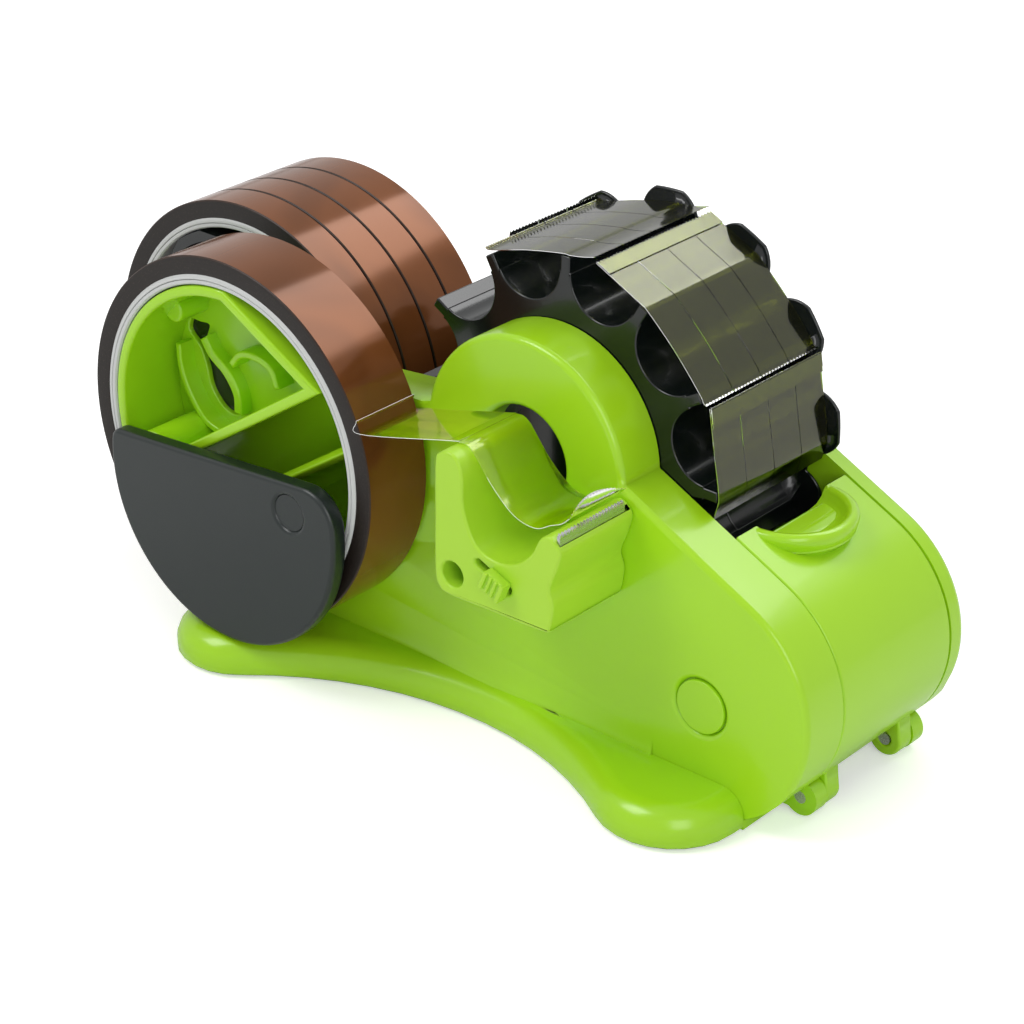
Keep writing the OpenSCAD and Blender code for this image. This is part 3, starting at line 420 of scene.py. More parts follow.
def plastic(name, colour, roughness, deep=0.86, smear=0.1, skin=0.05, skin_scale=1500.0,
            wave=0.08, coat=0.0):
    """Moulded plastic in one colour."""
    if name in bpy.data.materials:
        return bpy.data.materials[name]
    material, nodes, links, shader = fresh_material(name)
    group = nodes.new("ShaderNodeGroup")
    group.node_tree = moulding_group()
    for label, value in (
            ("Colour", shade(colour)), ("Deep", shade(colour, deep)), ("Flow", 0.5),
            ("Roughness", roughness), ("Smear", smear), ("Skin", skin),
            ("Skin scale", skin_scale), ("Wave", wave)):
        group.inputs[label].default_value = value
    links.new(object_vector(nodes, links), group.inputs["Vector"])
    links.new(group.outputs["Colour"], shader.inputs["Base Color"])
    links.new(group.outputs["Roughness"], shader.inputs["Roughness"])
    links.new(group.outputs["Normal"], shader.inputs["Normal"])
    shader.inputs["IOR"].default_value = 1.5
    shader.inputs["Coat Weight"].default_value = coat
    shader.inputs["Coat Roughness"].default_value = 0.04
    return material


def lime_finish():
    return plastic("Lime gloss", colours().lime, 0.24, skin=0.03, wave=0.06, coat=0.12)


def pale_lime_finish():
    return plastic("Pale lime satin", colours().pale_lime, 0.38, skin=0.12, skin_scale=2600.0)


def black_finish():
    return plastic("Black gloss", colours().black, 0.2, deep=0.7, smear=0.12, wave=0.1, coat=0.15)


def slate_finish():
    return plastic("Slate satin", colours().slate, 0.34, deep=0.82, smear=0.14, skin=0.25,
                   skin_scale=3200.0, wave=0.05)


def rubber_finish():
    return plastic("Soft rubber", colours().rubber, 0.75, skin=0.5, skin_scale=1800.0)


def steel_finish():
    """Brushed steel, with fine scratches along the blade."""
    name = "Brushed steel"
    if name in bpy.data.materials:
        return bpy.data.materials[name]
    material, nodes, links, shader = fresh_material(name)
    stretch = nodes.new("ShaderNodeMapping")
    stretch.inputs["Scale"].default_value = (3000.0, 120.0, 3000.0)
    links.new(object_vector(nodes, links), stretch.inputs["Vector"])
    scratches = noise_node(nodes, links, stretch.outputs["Vector"], 1.0).outputs["Fac"]
    links.new(remapped(nodes, links, scratches, 0.18, 0.36), shader.inputs["Roughness"])
    tone = mix_colour(nodes)
    tone.inputs["A"].default_value = shade(colours().steel, 0.8)
    tone.inputs["B"].default_value = shade(colours().steel)
    links.new(scratches, tone.inputs["Factor"])
    links.new(tone.outputs["Result"], shader.inputs["Base Color"])
    add_bump(nodes, links, scratches, 0.15, 0.02, shader.inputs["Normal"])
    shader.inputs["Metallic"].default_value = 1.0
    return material


def wound_finish(name, axis):
    """Tape wound on a roll: copper gloss outside, dark speckled layers on its sides."""
    if name in bpy.data.materials:
        return bpy.data.materials[name]
    material, nodes, links, shader = fresh_material(name)
    vector = object_vector(nodes, links, (axis[0] * MM, 0.0, axis[1] * MM))
    rings = rings_node(nodes, links, vector, 5200.0, 1500.0)

    # Share of the side's look, from how far a face turns to the roll's axis
    parts = nodes.new("ShaderNodeSeparateXYZ")
    geometry = nodes.new("ShaderNodeNewGeometry")
    links.new(geometry.outputs["Normal"], parts.inputs[0])
    facing = math_node(nodes, "ABSOLUTE")
    links.new(parts.outputs["Y"], facing.inputs[0])
    side = remapped(nodes, links, facing.outputs[0], 0.0, 1.0, 0.35, 0.8)

    # Outer turn, with darker patches where the layer below lies loose
    blotch = noise_node(nodes, links, vector, 28.0, 2.0, 0.8)
    outer = mix_colour(nodes)
    outer.inputs["A"].default_value = shade(colours().copper)
    outer.inputs["B"].default_value = shade(colours().copper, 0.62)
    links.new(remapped(nodes, links, blotch.outputs["Fac"], 0.0, 1.0, 0.42, 0.72),
              outer.inputs["Factor"])

    # Side, with its layers and a few pale specks
    layered = mix_colour(nodes)
    layered.inputs["A"].default_value = shade(colours().wound, 0.55)
    layered.inputs["B"].default_value = shade(colours().wound, 1.5)
    links.new(rings.outputs["Layers"], layered.inputs["Factor"])
    speckled = mix_colour(nodes)
    speckled.inputs["B"].default_value = shade(colours().wound, 5)
    links.new(layered.outputs["Result"], speckled.inputs["A"])
    few = math_node(nodes, "MULTIPLY", None, 0.35)
    links.new(rings.outputs["Specks"], few.inputs[0])
    links.new(few.outputs[0], speckled.inputs["Factor"])

    colour = mix_colour(nodes)
    links.new(side, colour.inputs["Factor"])
    links.new(outer.outputs["Result"], colour.inputs["A"])
    links.new(speckled.outputs["Result"], colour.inputs["B"])
    links.new(colour.outputs["Result"], shader.inputs["Base Color"])
    links.new(remapped(nodes, links, side, 0.13, 0.42), shader.inputs["Roughness"])
    links.new(remapped(nodes, links, side, 0.25, 0.0), shader.inputs["Metallic"])
    height = math_node(nodes, "MULTIPLY")
    links.new(rings.outputs["Layers"], height.inputs[0])
    links.new(side, height.inputs[1])
    add_bump(nodes, links, height.outputs[0], 0.25, 0.08, shader.inputs["Normal"])
    shader.inputs["Specular IOR Level"].default_value = 0.3
    return material


def card_finish(name, axis):
    """Pale pressed card with faint wound rings."""
    if name in bpy.data.materials:
        return bpy.data.materials[name]
    material, nodes, links, shader = fresh_material(name)
    vector = object_vector(nodes, links, (axis[0] * MM, 0.0, axis[1] * MM))
    layers = rings_node(nodes, links, vector, 2600.0).outputs["Layers"]
    tone = mix_colour(nodes)
    tone.inputs["A"].default_value = shade(colours().card, 0.72)
    tone.inputs["B"].default_value = shade(colours().card)
    links.new(layers, tone.inputs["Factor"])
    links.new(tone.outputs["Result"], shader.inputs["Base Color"])
    shader.inputs["Roughness"].default_value = 0.55
    add_bump(nodes, links, layers, 0.3, 0.06, shader.inputs["Normal"])
    return material


def film_finish(name="Tape film", tint=None):
    """Clear amber film: it tints what is behind it, ripples a little and casts a faint shade."""
    if name in bpy.data.materials:
        return bpy.data.materials[name]
    material, nodes, links, shader = fresh_material(name)
    tint = tint or colours().film
    vector = object_vector(nodes, links)
    cloud = noise_node(nodes, links, vector, 60.0, 3.0).outputs["Fac"]
    colour = mix_colour(nodes)
    colour.inputs["A"].default_value = shade(tint)
    colour.inputs["B"].default_value = (tint[0] * 0.9, tint[1] * 0.94, tint[2] * 0.7, 1)
    links.new(cloud, colour.inputs["Factor"])
    links.new(colour.outputs["Result"], shader.inputs["Base Color"])
    links.new(remapped(nodes, links, cloud, 0.02, 0.14), shader.inputs["Roughness"])
    ripple = noise_node(nodes, links, vector, 130.0)
    add_bump(nodes, links, ripple.outputs["Fac"], 0.12, 0.2, shader.inputs["Normal"])
    path = nodes.new("ShaderNodeLightPath")
    solid = math_node(nodes, "MULTIPLY_ADD", None, -0.7, 1.0)
    links.new(path.outputs["Is Shadow Ray"], solid.inputs[0])
    links.new(solid.outputs[0], shader.inputs["Alpha"])
    shader.inputs["Transmission Weight"].default_value = 1.0
    shader.inputs["IOR"].default_value = 1.55
    return material


# ---------------------------------------------------------------- mesh helpers

def merged_copy(node, flat=True):
    """A CAD node's shape as a bmesh, its triangles joined and, if asked, its flat faces whole."""
    bm = bmesh.new()
    bm.from_mesh(frame["nodes"][node].data)
    bmesh.ops.remove_doubles(bm, verts=bm.verts, dist=CAD_JOIN)
    if flat:
        bmesh.ops.dissolve_limit(
            bm, angle_limit=math.radians(0.4), use_dissolve_boundaries=False,
            verts=bm.verts, edges=bm.edges, delimit=set())
    return bm


def lies_at(edge, y):
    """Whether both ends of an edge lie at a Y in millimetres."""
    return all(abs(vert.co.y / MM - y) < ON_PLANE for vert in edge.verts)


def round_edges(bm, width, chosen=lambda edge: True):
    """Rounds the sharp outward edges that chosen picks."""
    sharp = [edge for edge in bm.edges
             if len(edge.link_faces) == 2 and math.degrees(edge.calc_face_angle(0.0)) > SHARP_TURN
             and edge.is_convex and chosen(edge)]
    if sharp:
        bmesh.ops.bevel(
            bm, geom=sharp, offset=width, offset_type="OFFSET", affect="EDGES", segments=3,
            profile=0.5, clamp_overlap=False, material=-1, loop_slide=False)


def add_piece(bm, name, material, body, replaced=(), crease=32.0, weighted=True):
    """Makes a bmesh an object that rides on a body and stands for CAD nodes."""
    mesh = bpy.data.meshes.new(name)
    bm.to_mesh(mesh)
    bm.free()
    mesh.materials.append(material)
    mesh.shade_smooth()
    mesh.set_sharp_from_angle(angle=math.radians(crease))
    piece = bpy.data.objects.new(name, mesh)
    bpy.context.scene.collection.objects.link(piece)
    if weighted:
        normals = piece.modifiers.new("Weighted Normal", "WEIGHTED_NORMAL")
        normals.keep_sharp = True
    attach(piece, body)
    if replaced:
        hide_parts(*replaced)


def dress_node(node, material):
    """Gives a CAD node a finish."""
    mesh = frame["nodes"][node].data
    mesh.materials.clear()
    mesh.materials.append(material)


def loop_face(bm, points):
    """A face through points in millimetres."""
    verts = [bm.verts.new(Vector(p) * MM) for p in points]
    return bm.faces.new(verts)


def circle_points(cx, cz, radius, start, end, steps):
    """Points in X and Z on an arc; angles in degrees from +X towards +Z."""
    return [(cx + radius * math.cos(math.radians(start + (end - start) * i / steps)),
             cz + radius * math.sin(math.radians(start + (end - start) * i / steps)))
            for i in range(steps + 1)]


def turned(profile, axis, steps):
    """Spins a closed profile of (radius, y) in millimetres round an axis along Y."""
    bm = bmesh.new()
    cx, cz = axis
    verts = [bm.verts.new(Vector((cx + r, y, cz)) * MM) for r, y in profile]
    edges = [bm.edges.new((verts[i], verts[(i + 1) % len(verts)])) for i in range(len(verts))]
    bmesh.ops.spin(
        bm, geom=verts + edges, cent=Vector((cx, 0, cz)) * MM, axis=(0, 1, 0), angle=math.tau,
        steps=steps, use_merge=True, use_duplicate=False)
    bmesh.ops.remove_doubles(bm, verts=bm.verts, dist=SPUN_JOIN)
    bmesh.ops.recalc_face_normals(bm, faces=bm.faces)
    return bm


def smooth_path(points, steps=6):
    """Catmull-Rom curve through points of any size, as a list of points."""
    vectors = [Vector(p) for p in points]
    ends = [2 * vectors[0] - vectors[1], *vectors, 2 * vectors[-1] - vectors[-2]]
    out = []
    for i in range(1, len(ends) - 2):
        a, b, c, d = ends[i - 1:i + 3]
        for k in range(steps):
            t = k / steps
            out.append((2 * b + (c - a) * t + (2 * a - 5 * b + 4 * c - d) * t * t
                        + (3 * b - a - 3 * c + d) * t ** 3) / 2)
    return [*out, vectors[-1]]


def band_outline(path, half):
    """A closed loop round a line of points, at half a band's width on both of its sides."""
    left, right = [], []
    for i, point in enumerate(path):
        ahead = (path[min(i + 1, len(path) - 1)] - path[max(i - 1, 0)]).normalized()
        aside = Vector((-ahead.y, ahead.x)) * half
        left.append(tuple(point + aside))
        right.append(tuple(point - aside))
    return left + right[::-1]


def film_strip(bm, path, low_y, high_y, thickness, columns, saw=(0.0, 0.0), lift=None):
    """A thin closed ribbon along a path of (x, z), with saw-cut ends; all in millimetres."""
    last = len(path) - 1
    rows = []
    for i, point in enumerate(path):
        ahead = (path[min(i + 1, last)] - path[max(i - 1, 0)]).normalized()
        out = Vector((-ahead.y, ahead.x))
        row = []
        for j in range(columns + 1):
            y = low_y + (high_y - low_y) * j / columns
            shift = 0.0
            if j % 2:
                shift = saw[0] if i == 0 else -saw[1] if i == last else 0.0
            place = point + ahead * shift + out * (lift(i / last, y) if lift else 0.0)
            row.append([bm.verts.new(Vector((corner.x, y, corner.y)) * MM)
                        for corner in (place, place + out * thickness)])
        rows.append(row)
    for i in range(last):
        for j in range(columns):
            for side in (0, 1):
                bm.faces.new([rows[i][j][side], rows[i + 1][j][side],
                              rows[i + 1][j + 1][side], rows[i][j + 1][side]])
        for j in (0, columns):
            bm.faces.new([rows[i][j][0], rows[i][j][1], rows[i + 1][j][1], rows[i + 1][j][0]])
    for i in (0, last):
        for j in range(columns):
            bm.faces.new([rows[i][j][0], rows[i][j + 1][0], rows[i][j + 1][1], rows[i][j][1]])


def flat_plate(outline, low_y, high_y, edge, holes=()):
    """A plate in the XZ plane with rounded edges, from loops of (x, z) in millimetres."""
    curve = bpy.data.curves.new("outline", "CURVE")
    curve.dimensions = "2D"
    curve.fill_mode = "BOTH"
    curve.extrude = ((high_y - low_y) / 2 - edge) * MM
    curve.bevel_depth = edge * MM
    curve.bevel_resolution = 2
    curve.offset = -edge * MM
    for loop in (outline, *holes):
        spline = curve.splines.new("POLY")
        spline.points.add(len(loop) - 1)
        for point, (x, z) in zip(spline.points, loop):
            point.co = (x * MM, z * MM, 0, 1)
        spline.use_cyclic_u = True
    source = bpy.data.objects.new("outline", curve)
    bm = bmesh.new()
    bm.from_mesh(source.to_mesh())
    source.to_mesh_clear()
    bpy.data.objects.remove(source)
    bpy.data.curves.remove(curve)
    turn = Matrix(((1, 0, 0), (0, 0, -1), (0, 1, 0))).to_4x4()
    bmesh.ops.transform(bm, matrix=turn, verts=bm.verts)
    bmesh.ops.translate(bm, verts=bm.verts, vec=(0, (low_y + high_y) / 2 * MM, 0))
    bmesh.ops.remove_doubles(bm, verts=bm.verts, dist=CAD_JOIN)
    bmesh.ops.recalc_face_normals(bm, faces=bm.faces)
    return bm


def clipped(points, normal_deg, limit):
    """The part of a loop of points whose distance along a direction is at most limit."""
    normal = Vector((math.cos(math.radians(normal_deg)), math.sin(math.radians(normal_deg))))
    out = []
    for i, here in enumerate(points):
        past = points[i - 1]
        a, b = Vector(past).dot(normal) - limit, Vector(here).dot(normal) - limit
        if (a <= 0) != (b <= 0):
            out.append(tuple(Vector(past).lerp(Vector(here), a / (a - b))))
        if b <= 0:
            out.append(here)
    return out


# ---------------------------------------------------------------- operators

class PieceOperator(bpy.types.Operator):
    """Makes one piece or a group of like pieces"""
    bl_options = {"REGISTER", "UNDO"}

    def execute(self, context):
        self.build()
        return {"FINISHED"}


class DISPENSER_OT_hidden_parts(PieceOperator):
    """Finishes the CAD parts that keep their own shape: liner, base, hub, pins, blade and screws"""
    bl_idname = "dispenser.hidden_parts"
    bl_label = "Plain Parts"

    def build(self):
        axis = node_axis("roll_1")
        finishes = {
            "lime": lime_finish(), "pale_lime": pale_lime_finish(), "black": black_finish(),
            "slate": slate_finish(), "soft_black": rubber_finish(), "steel": steel_finish(),
            "clear_film": film_finish(), "copper_tape": wound_finish("Narrow tape", axis),
            "card": card_finish("Narrow card", axis),
        }
        for row in frame["record"]["subparts"]:
            dress_node(row["node"], finishes[row["material_slot"]])


class DISPENSER_OT_side_shells(PieceOperator):
    """Rounds the moulded edges of the two side shells"""
    bl_idname = "dispenser.side_shells"
    bl_label = "Side Shells"

    def build(self):
        front_y = node_box("screw_cap")[0].y
        rear_mesh = frame["nodes"]["rear_side"].data
        rear_y = max(v.co.y for v in rear_mesh.vertices if v.co.z > WALL_Z * MM) / MM
        for node, name, wall_y in (("front_side", "front_shell", front_y),
                                   ("rear_side", "rear_shell", rear_y)):
            in_front = wall_y < 0
            bm = merged_copy(node, flat=not in_front)
            self.fade_flare(bm, wall_y)
            if in_front:
                rim_y = node_box(node)[0].y
                round_edges(bm, RIM_EDGE * MM, lambda edge: lies_at(edge, rim_y))
                self.trim_cup(bm)
            round_edges(bm, sizes().shell_edge, lambda edge: lies_at(edge, wall_y) and (
                edge.verts[0].co.z + edge.verts[1].co.z) / 2 / MM > ROUNDED_FROM_Z)
            add_piece(bm, name, lime_finish(), HOUSING, [node])

    def trim_cup(self, bm):
        """Ends the part of the cup above the shoulder just behind the wide roll."""
        cx, cz = node_axis("wide_roll")
        back = node_box("wide_roll")[1].y + 0.5
        shoulder = node_box("front_liner")[0].z + SHOULDER_Z
        for vert in bm.verts:
            x, y, z = vert.co / MM
            if y > back and z > shoulder and math.hypot(x - cx, z - cz) < CORE_BORE / 2:
                vert.co.y = back * MM

    def fade_flare(self, bm, wall_y):
        """Sets the flare into the foot and lets it run out softly into the wall at both ends."""
        flare = [v for v in bm.verts
                 if (v.co.y / MM - wall_y) * wall_y > 0.02 and v.co.z < FLARE_TOP_Z * MM]
        first, last = min(v.co.x for v in flare), max(v.co.x for v in flare)
        for vert in flare:
            if vert.co.z < FLARE_RIM_Z * MM:
                vert.co.z -= FLARE_SET_IN * MM
            if not first + FLARE_END * MM <= vert.co.x <= last - FLARE_END * MM:
                vert.co.y = wall_y * MM + (vert.co.y - wall_y * MM) * FLARE_LEFT


class DISPENSER_OT_foot(PieceOperator):
    """Smooths the two foot mouldings with their lobes, waist and rounded upper edge"""
    bl_idname = "dispenser.foot"
    bl_label = "Foot"

    def build(self):
        for node, name in (("skirt_front", "foot_front"), ("skirt_rear", "foot_rear")):
            add_piece(merged_copy(node), name, lime_finish(), HOUSING, [node], crease=50.0)


class DISPENSER_OT_mouldings(PieceOperator):
    """Rounds the edges of the wheel, the end stop, the side cutter, the cover and the lock"""
    bl_idname = "dispenser.mouldings"
    bl_label = "Rounded Mouldings"

    def build(self):
        edges = sizes()
        lime, pale_lime, black = lime_finish(), pale_lime_finish(), black_finish()
        small = edges.cover_edge / 2
        rows = (
            ("wheel_front", "wheel_front_half", black, WHEEL, "black", edges.lobe_edge),
            ("wheel_rear", "wheel_rear_half", black, WHEEL, "black", edges.lobe_edge),
            ("end_stop", "stop_plate", slate_finish(), STOP, "slate", edges.plate_edge),
            ("bracket", "cutter_bracket", pale_lime, HOUSING, "pale_lime", edges.bracket_edge),
            ("lid", "nose_cover", lime, COVER, "lime", edges.cover_edge),
            ("lock_slider", "lock_knob", pale_lime, LOCK, "pale_lime", small),
            ("screw_cap", "round_cap", lime, HOUSING, "lime", small),
        )
        for node, name, finish, body, slot, edge in rows:
            bm = merged_copy(node, flat=body != WHEEL)
            round_edges(bm, edge)
            add_piece(bm, name, finish, body, [node])


class DISPENSER_OT_cup(PieceOperator):
    """Makes the floor of the roll's cup, with its keyhole, curved lip, cheek, leaf and boss"""
    bl_idname = "dispenser.cup"
    bl_label = "Cup Floor"

    def build(self):
        cx, cz = node_axis("wide_roll")
        floor_y = node_box("wide_roll")[1].y - CUP_FLOOR_IN
        ring = circle_points(0, 0, CORE_BORE / 2 - CUP_WALL, 0, 360, 96)[:-1]
        for side in CUP_SIDES:
            ring = clipped(ring, *side)
        keyhole = [tuple(p) for p in smooth_path([*KEYHOLE, KEYHOLE[0]], 5)[:-1]]
        bm = flat_plate([(cx + x, cz + z) for x, z in ring], floor_y, floor_y + CUP_FLOOR, 0.4,
                        holes=[keyhole])
        add_piece(bm, "cup_floor", lime_finish(), HOUSING)
        bm = flat_plate(keyhole, floor_y + CUP_FLOOR - 0.4, floor_y + CUP_FLOOR + 0.1, 0.1)
        add_piece(bm, "cup_shadow", black_finish(), HOUSING)
        for name, half, height, line in CUP_RIBS:
            outline = band_outline(smooth_path(line, 6), half)
            bm = flat_plate(outline, floor_y - height, floor_y + CUP_ROOT, 0.55)
            add_piece(bm, name, lime_finish(), HOUSING)
        x, z, radius, height = CUP_BOSS
        outline = circle_points(x, z, radius, 0, 360, 32)[:-1]
        bm = flat_plate(outline, floor_y - height, floor_y + CUP_ROOT, 0.7)
        add_piece(bm, "cup_boss", lime_finish(), HOUSING)


class DISPENSER_OT_tape_sheets(PieceOperator):
    """Lays the cut strips over the wheel's ribs, with saw-cut ends, folded bands and flags"""
    bl_idname = "dispenser.tape_sheets"
    bl_label = "Tape Sheets"

    def build(self):
        thickness = sizes().film_thickness / MM
        for number, (path, doubled, saw, band) in enumerate(SHEETS, 1):
            low, high = node_box(f"wheel_tape_{number}")
            bm = bmesh.new()
            points = smooth_path(self.on_wheel(path), 7)
            for i in range(round((high.y - low.y) / STRIP_PITCH)):
                start = low.y - STRIP_OUT + i * STRIP_PITCH
                film_strip(bm, points, start, start + STRIP_WIDTH, thickness, 18, saw)
            if band:
                points = smooth_path(self.on_wheel(path[:3], BAND_LIFT), 6)
                span = [p for p in points if (p - points[0]).length < band]
                film_strip(bm, span, low.y, high.y, thickness, 72, (saw[0], 0.0))
                if doubled:
                    inner = [p + Vector(BAND_SHIFT) for p in span[1:-1]]
                    film_strip(bm, inner, low.y, high.y, thickness, 2)
            add_piece(bm, f"tape_sheet_{number}", film_finish(), WHEEL,
                      [f"wheel_tape_{number}"], crease=60, weighted=False)

    def on_wheel(self, path, lift=0.0):
        """Points in X and Z of a line of (angle, radius) round the wheel."""
        centre = node_axis("wheel_sleeve")
        return [circle_points(*centre, radius + lift, angle, angle, 1)[0] for angle, radius in path]


class DISPENSER_OT_side_film(PieceOperator):
    """Lays the wide tape from its roll over post and valley to the blade, with a curled end"""
    bl_idname = "dispenser.side_film"
    bl_label = "Side Film"

    def build(self):
        radius = node_radius("wide_roll") + SIDE_FILM_GAP
        low, high = node_box("bracket")
        wide, tall = (high.x - low.x) / BRACKET_LIP_SHARE, high.z - low.z
        path = circle_points(*node_axis("wide_roll"), radius, *SIDE_FILM_LEAVES, 1)
        path += [(low.x + wide * x, low.z + tall * z) for x, z in SIDE_FILM]
        near, far = (corner.y for corner in node_box("side_film"))

        def curl(share, y):
            along = max(0.0, share - CURL_FROM) / (1 - CURL_FROM)
            return CURL_HEIGHT * along * along * math.sin((y - near) / (far - near) * math.pi)

        bm = bmesh.new()
        film_strip(bm, smooth_path(path, 7), near, far, sizes().film_thickness / MM, 40,
                   (0.0, 0.5), curl)
        add_piece(bm, "side_tape", film_finish("Pale film", (0.96, 0.92, 0.10)), HOUSING,
                  ["side_film"], crease=60, weighted=False)


class DISPENSER_OT_blades(PieceOperator):
    """Cuts the fine teeth of the small blade"""
    bl_idname = "dispenser.blades"
    bl_label = "Fine Teeth"

    def build(self):
        low, high = node_box("side_blade")
        count = int((high.y - low.y) / TOOTH_PITCH)
        root_z = high.z - TOOTH_DEPTH
        loop = [(high.y, low.z), (low.y, low.z)]
        for i in range(count):
            start = low.y + (high.y - low.y) * i / count
            loop += [(start, root_z), (start + TOOTH_PITCH / 2, high.z)]
        loop.append((high.y, root_z))
        bm = bmesh.new()
        face = loop_face(bm, [(low.x, y, z) for y, z in loop])
        bmesh.ops.recalc_face_normals(bm, faces=[face])
        moved = bmesh.ops.extrude_face_region(bm, geom=[face])["geom"]
        bmesh.ops.translate(bm, verts=[v for v in moved if isinstance(v, bmesh.types.BMVert)],
                            vec=((high.x - low.x) * MM, 0, 0))
        bmesh.ops.recalc_face_normals(bm, faces=bm.faces)
        add_piece(bm, "side_blade_teeth", steel_finish(), HOUSING, ["side_blade"],
                  weighted=False)


class DISPENSER_OT_finger_bowl(PieceOperator):
    """Turns the half-round bowl on the cover's edge, which a finger lifts it by"""
    bl_idname = "dispenser.finger_bowl"
    bl_label = "Finger Bowl"

    def build(self):
        low, high = node_box("lid")
        middle_y = (low.y + high.y) / 2
        top = high.z - BOWL_DROP
        bm = bmesh.new()
        verts = [bm.verts.new(Vector((low.x, middle_y - r, top + z)) * MM) for r, z in BOWL_SECTION]
        edges = [bm.edges.new((a, b)) for a, b in zip(verts, verts[1:])]
        bmesh.ops.spin(
            bm, geom=verts + edges, cent=Vector((low.x, middle_y, 0)) * MM, axis=(0, 0, 1),
            angle=math.pi, steps=48, use_merge=False, use_duplicate=False)
        bmesh.ops.remove_doubles(bm, verts=bm.verts, dist=SPUN_JOIN)
        bmesh.ops.holes_fill(bm, edges=[e for e in bm.edges if e.is_boundary], sides=0)
        bmesh.ops.recalc_face_normals(bm, faces=bm.faces)
        add_piece(bm, "finger_bowl", lime_finish(), COVER, crease=60)


class DISPENSER_OT_rolls(PieceOperator):
    """Turns the four narrow rolls and the wide roll, with their cores"""
    bl_idname = "dispenser.rolls"
    bl_label = "Tape Rolls"

    def build(self):
        for number in range(1, 5):
            self.roll(f"roll_{number}", f"core_{number}", f"narrow_{number}", NARROW, "Narrow")
        self.roll("wide_roll", "wide_core", "wide", WIDE, "Wide")

    def roll(self, roll, core, name, body, label):
        axis = node_axis(roll)
        outer, inner = node_radius(roll), node_radius(core)
        tape = self.both_sides(roll, (
            (inner, 0.25), (inner + 0.5, 0.1), (outer - 1.2, 0.0), (outer - ROLL_EDGE, 0.04),
            (outer, ROLL_EDGE)))
        add_piece(turned(tape, axis, ROLL_STEPS), f"{name}_tape",
                  wound_finish(f"{label} tape", axis), body, [roll])
        bore = CORE_BORE / 2
        lip = (inner - bore) / 4
        card = self.both_sides(core, (
            (bore, 0.5), (bore + 0.3, 0.1), (bore + lip, 0.0), (bore + 2 * lip - 0.15, 0.05),
            (bore + 2 * lip, 0.5), (bore + 2 * lip + 0.15, 0.05), (bore + 3 * lip, 0.0),
            (inner - 0.3, 0.1), (inner, 0.4)))
        add_piece(turned(card, axis, ROLL_STEPS), f"{name}_core",
                  card_finish(f"{label} card", axis), body, [core])

    def both_sides(self, node, section):
        """A closed profile from a section of (radius, depth) on both sides of a node."""
        low, high = node_box(node)
        return ([(radius, low.y + depth) for radius, depth in section]
                + [(radius, high.y - depth) for radius, depth in section[::-1]])


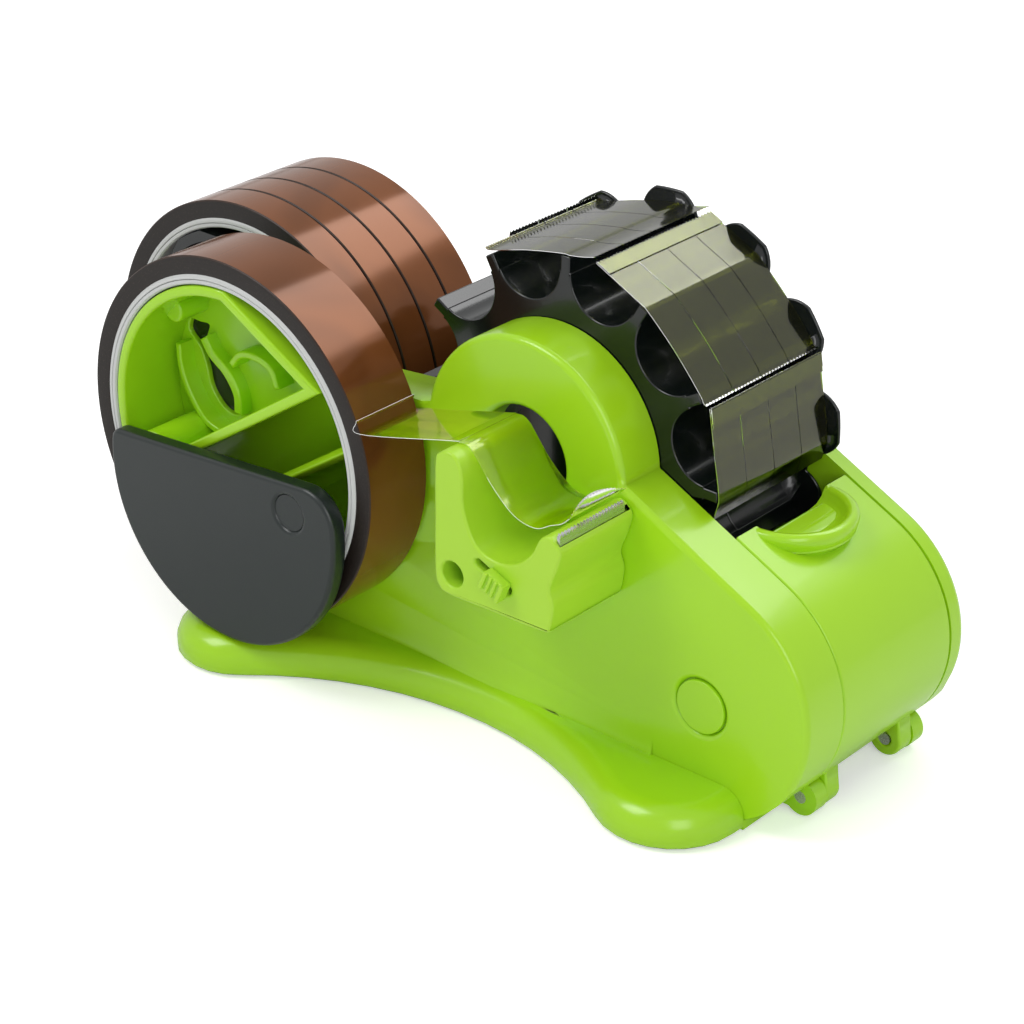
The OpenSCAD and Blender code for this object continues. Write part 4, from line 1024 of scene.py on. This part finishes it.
class DISPENSER_OT_stage(bpy.types.Operator):
    """Makes the floor, the lamps, the backdrop light and the camera"""
    bl_idname = "dispenser.stage"
    bl_label = "Stage"
    bl_options = {"REGISTER", "UNDO"}

    def execute(self, context):
        scene = context.scene
        scene.view_settings.view_transform = "Standard"
        self.floor(scene)
        self.world(scene)
        self.lamps(scene)
        self.camera(scene)
        return {"FINISHED"}

    def floor(self, scene):
        bm = bmesh.new()
        bmesh.ops.create_grid(bm, x_segments=1, y_segments=1, size=4.0)
        bmesh.ops.translate(bm, verts=bm.verts, vec=(0, 0, -0.02 * MM))
        mesh = bpy.data.meshes.new("floor")
        bm.to_mesh(mesh)
        bm.free()
        material, nodes, links, shader = fresh_material("Pale floor")
        shader.inputs["Base Color"].default_value = (0.93, 0.93, 0.93, 1)
        shader.inputs["Roughness"].default_value = 0.85
        shader.inputs["Specular IOR Level"].default_value = 0.1
        path = nodes.new("ShaderNodeLightPath")
        seen = math_node(nodes, "MULTIPLY", None, 0.42)
        links.new(path.outputs["Is Camera Ray"], seen.inputs[0])
        shader.inputs["Emission Color"].default_value = (1, 1, 1, 1)
        links.new(seen.outputs[0], shader.inputs["Emission Strength"])
        mesh.materials.append(material)
        floor = bpy.data.objects.new("floor", mesh)
        scene.collection.objects.link(floor)

    def world(self, scene):
        world = scene.world or bpy.data.worlds.new("Studio")
        scene.world = world
        world.use_nodes = True
        nodes, links = world.node_tree.nodes, world.node_tree.links
        nodes.clear()
        out = nodes.new("ShaderNodeOutputWorld")
        back = nodes.new("ShaderNodeBackground")
        path = nodes.new("ShaderNodeLightPath")
        back.inputs["Color"].default_value = (1, 1, 1, 1)
        mirrored = math_node(nodes, "MAXIMUM")
        dimmed = math_node(nodes, "MULTIPLY", None, 0.8)
        seen = math_node(nodes, "MAXIMUM")
        strength = math_node(nodes, "MAXIMUM", None, 0.4)
        links.new(path.outputs["Is Glossy Ray"], mirrored.inputs[0])
        links.new(path.outputs["Is Transmission Ray"], mirrored.inputs[1])
        links.new(mirrored.outputs[0], dimmed.inputs[0])
        links.new(dimmed.outputs[0], seen.inputs[0])
        links.new(path.outputs["Is Camera Ray"], seen.inputs[1])
        links.new(seen.outputs[0], strength.inputs[0])
        links.new(strength.outputs[0], back.inputs["Strength"])
        links.new(back.outputs["Background"], out.inputs["Surface"])

    def lamps(self, scene):
        for name, place, size, power in LAMPS:
            data = bpy.data.lights.new(name, "AREA")
            data.shape = "RECTANGLE"
            data.size, data.size_y = size
            data.energy = power
            lamp = bpy.data.objects.new(name, data)
            lamp.location = place
            aim = Vector(LAMP_TARGET) - Vector(place)
            lamp.rotation_euler = aim.to_track_quat("-Z", "Y").to_euler()
            scene.collection.objects.link(lamp)

    def camera(self, scene):
        data = bpy.data.cameras.new("camera")
        data.sensor_width = 36.0
        data.lens = CAMERA_LENS
        data.clip_start = 0.01
        data.clip_end = 20.0
        camera = bpy.data.objects.new("camera", data)
        camera.location = Vector(CAMERA_PLACE) * MM
        camera.rotation_euler = (math.radians(90 - CAMERA_DOWN), 0.0, math.radians(CAMERA_TURN))
        scene.collection.objects.link(camera)
        scene.camera = camera


OPERATORS = (
    DISPENSER_OT_hidden_parts,
    DISPENSER_OT_side_shells,
    DISPENSER_OT_foot,
    DISPENSER_OT_mouldings,
    DISPENSER_OT_cup,
    DISPENSER_OT_tape_sheets,
    DISPENSER_OT_side_film,
    DISPENSER_OT_blades,
    DISPENSER_OT_finger_bowl,
    DISPENSER_OT_rolls,
    DISPENSER_OT_stage,
)


class DISPENSER_PT_panel(bpy.types.Panel):
    """Lists the dispenser's pieces and settings"""
    bl_idname = "DISPENSER_PT_panel"
    bl_label = "Tape Dispenser"
    bl_space_type = "VIEW_3D"
    bl_region_type = "UI"
    bl_category = "Dispenser"

    def draw(self, context):
        for group in (context.scene.dispenser_sizes, context.scene.dispenser_colours):
            for label in group.__annotations__:
                self.layout.prop(group, label)
        for operator in OPERATORS:
            self.layout.operator(operator.bl_idname)


def register():
    for entry in (DispenserSizes, DispenserColours, *OPERATORS, DISPENSER_PT_panel):
        bpy.utils.register_class(entry)
    bpy.types.Scene.dispenser_sizes = bpy.props.PointerProperty(type=DispenserSizes)
    bpy.types.Scene.dispenser_colours = bpy.props.PointerProperty(type=DispenserColours)


def unregister():
    del bpy.types.Scene.dispenser_colours
    del bpy.types.Scene.dispenser_sizes
    for entry in reversed((DispenserSizes, DispenserColours, *OPERATORS, DISPENSER_PT_panel)):
        bpy.utils.unregister_class(entry)


def main():
    register()
    for operator in OPERATORS:
        area, action = operator.bl_idname.split(".")
        getattr(getattr(bpy.ops, area), action)()


if __name__ == "__main__":
    main()
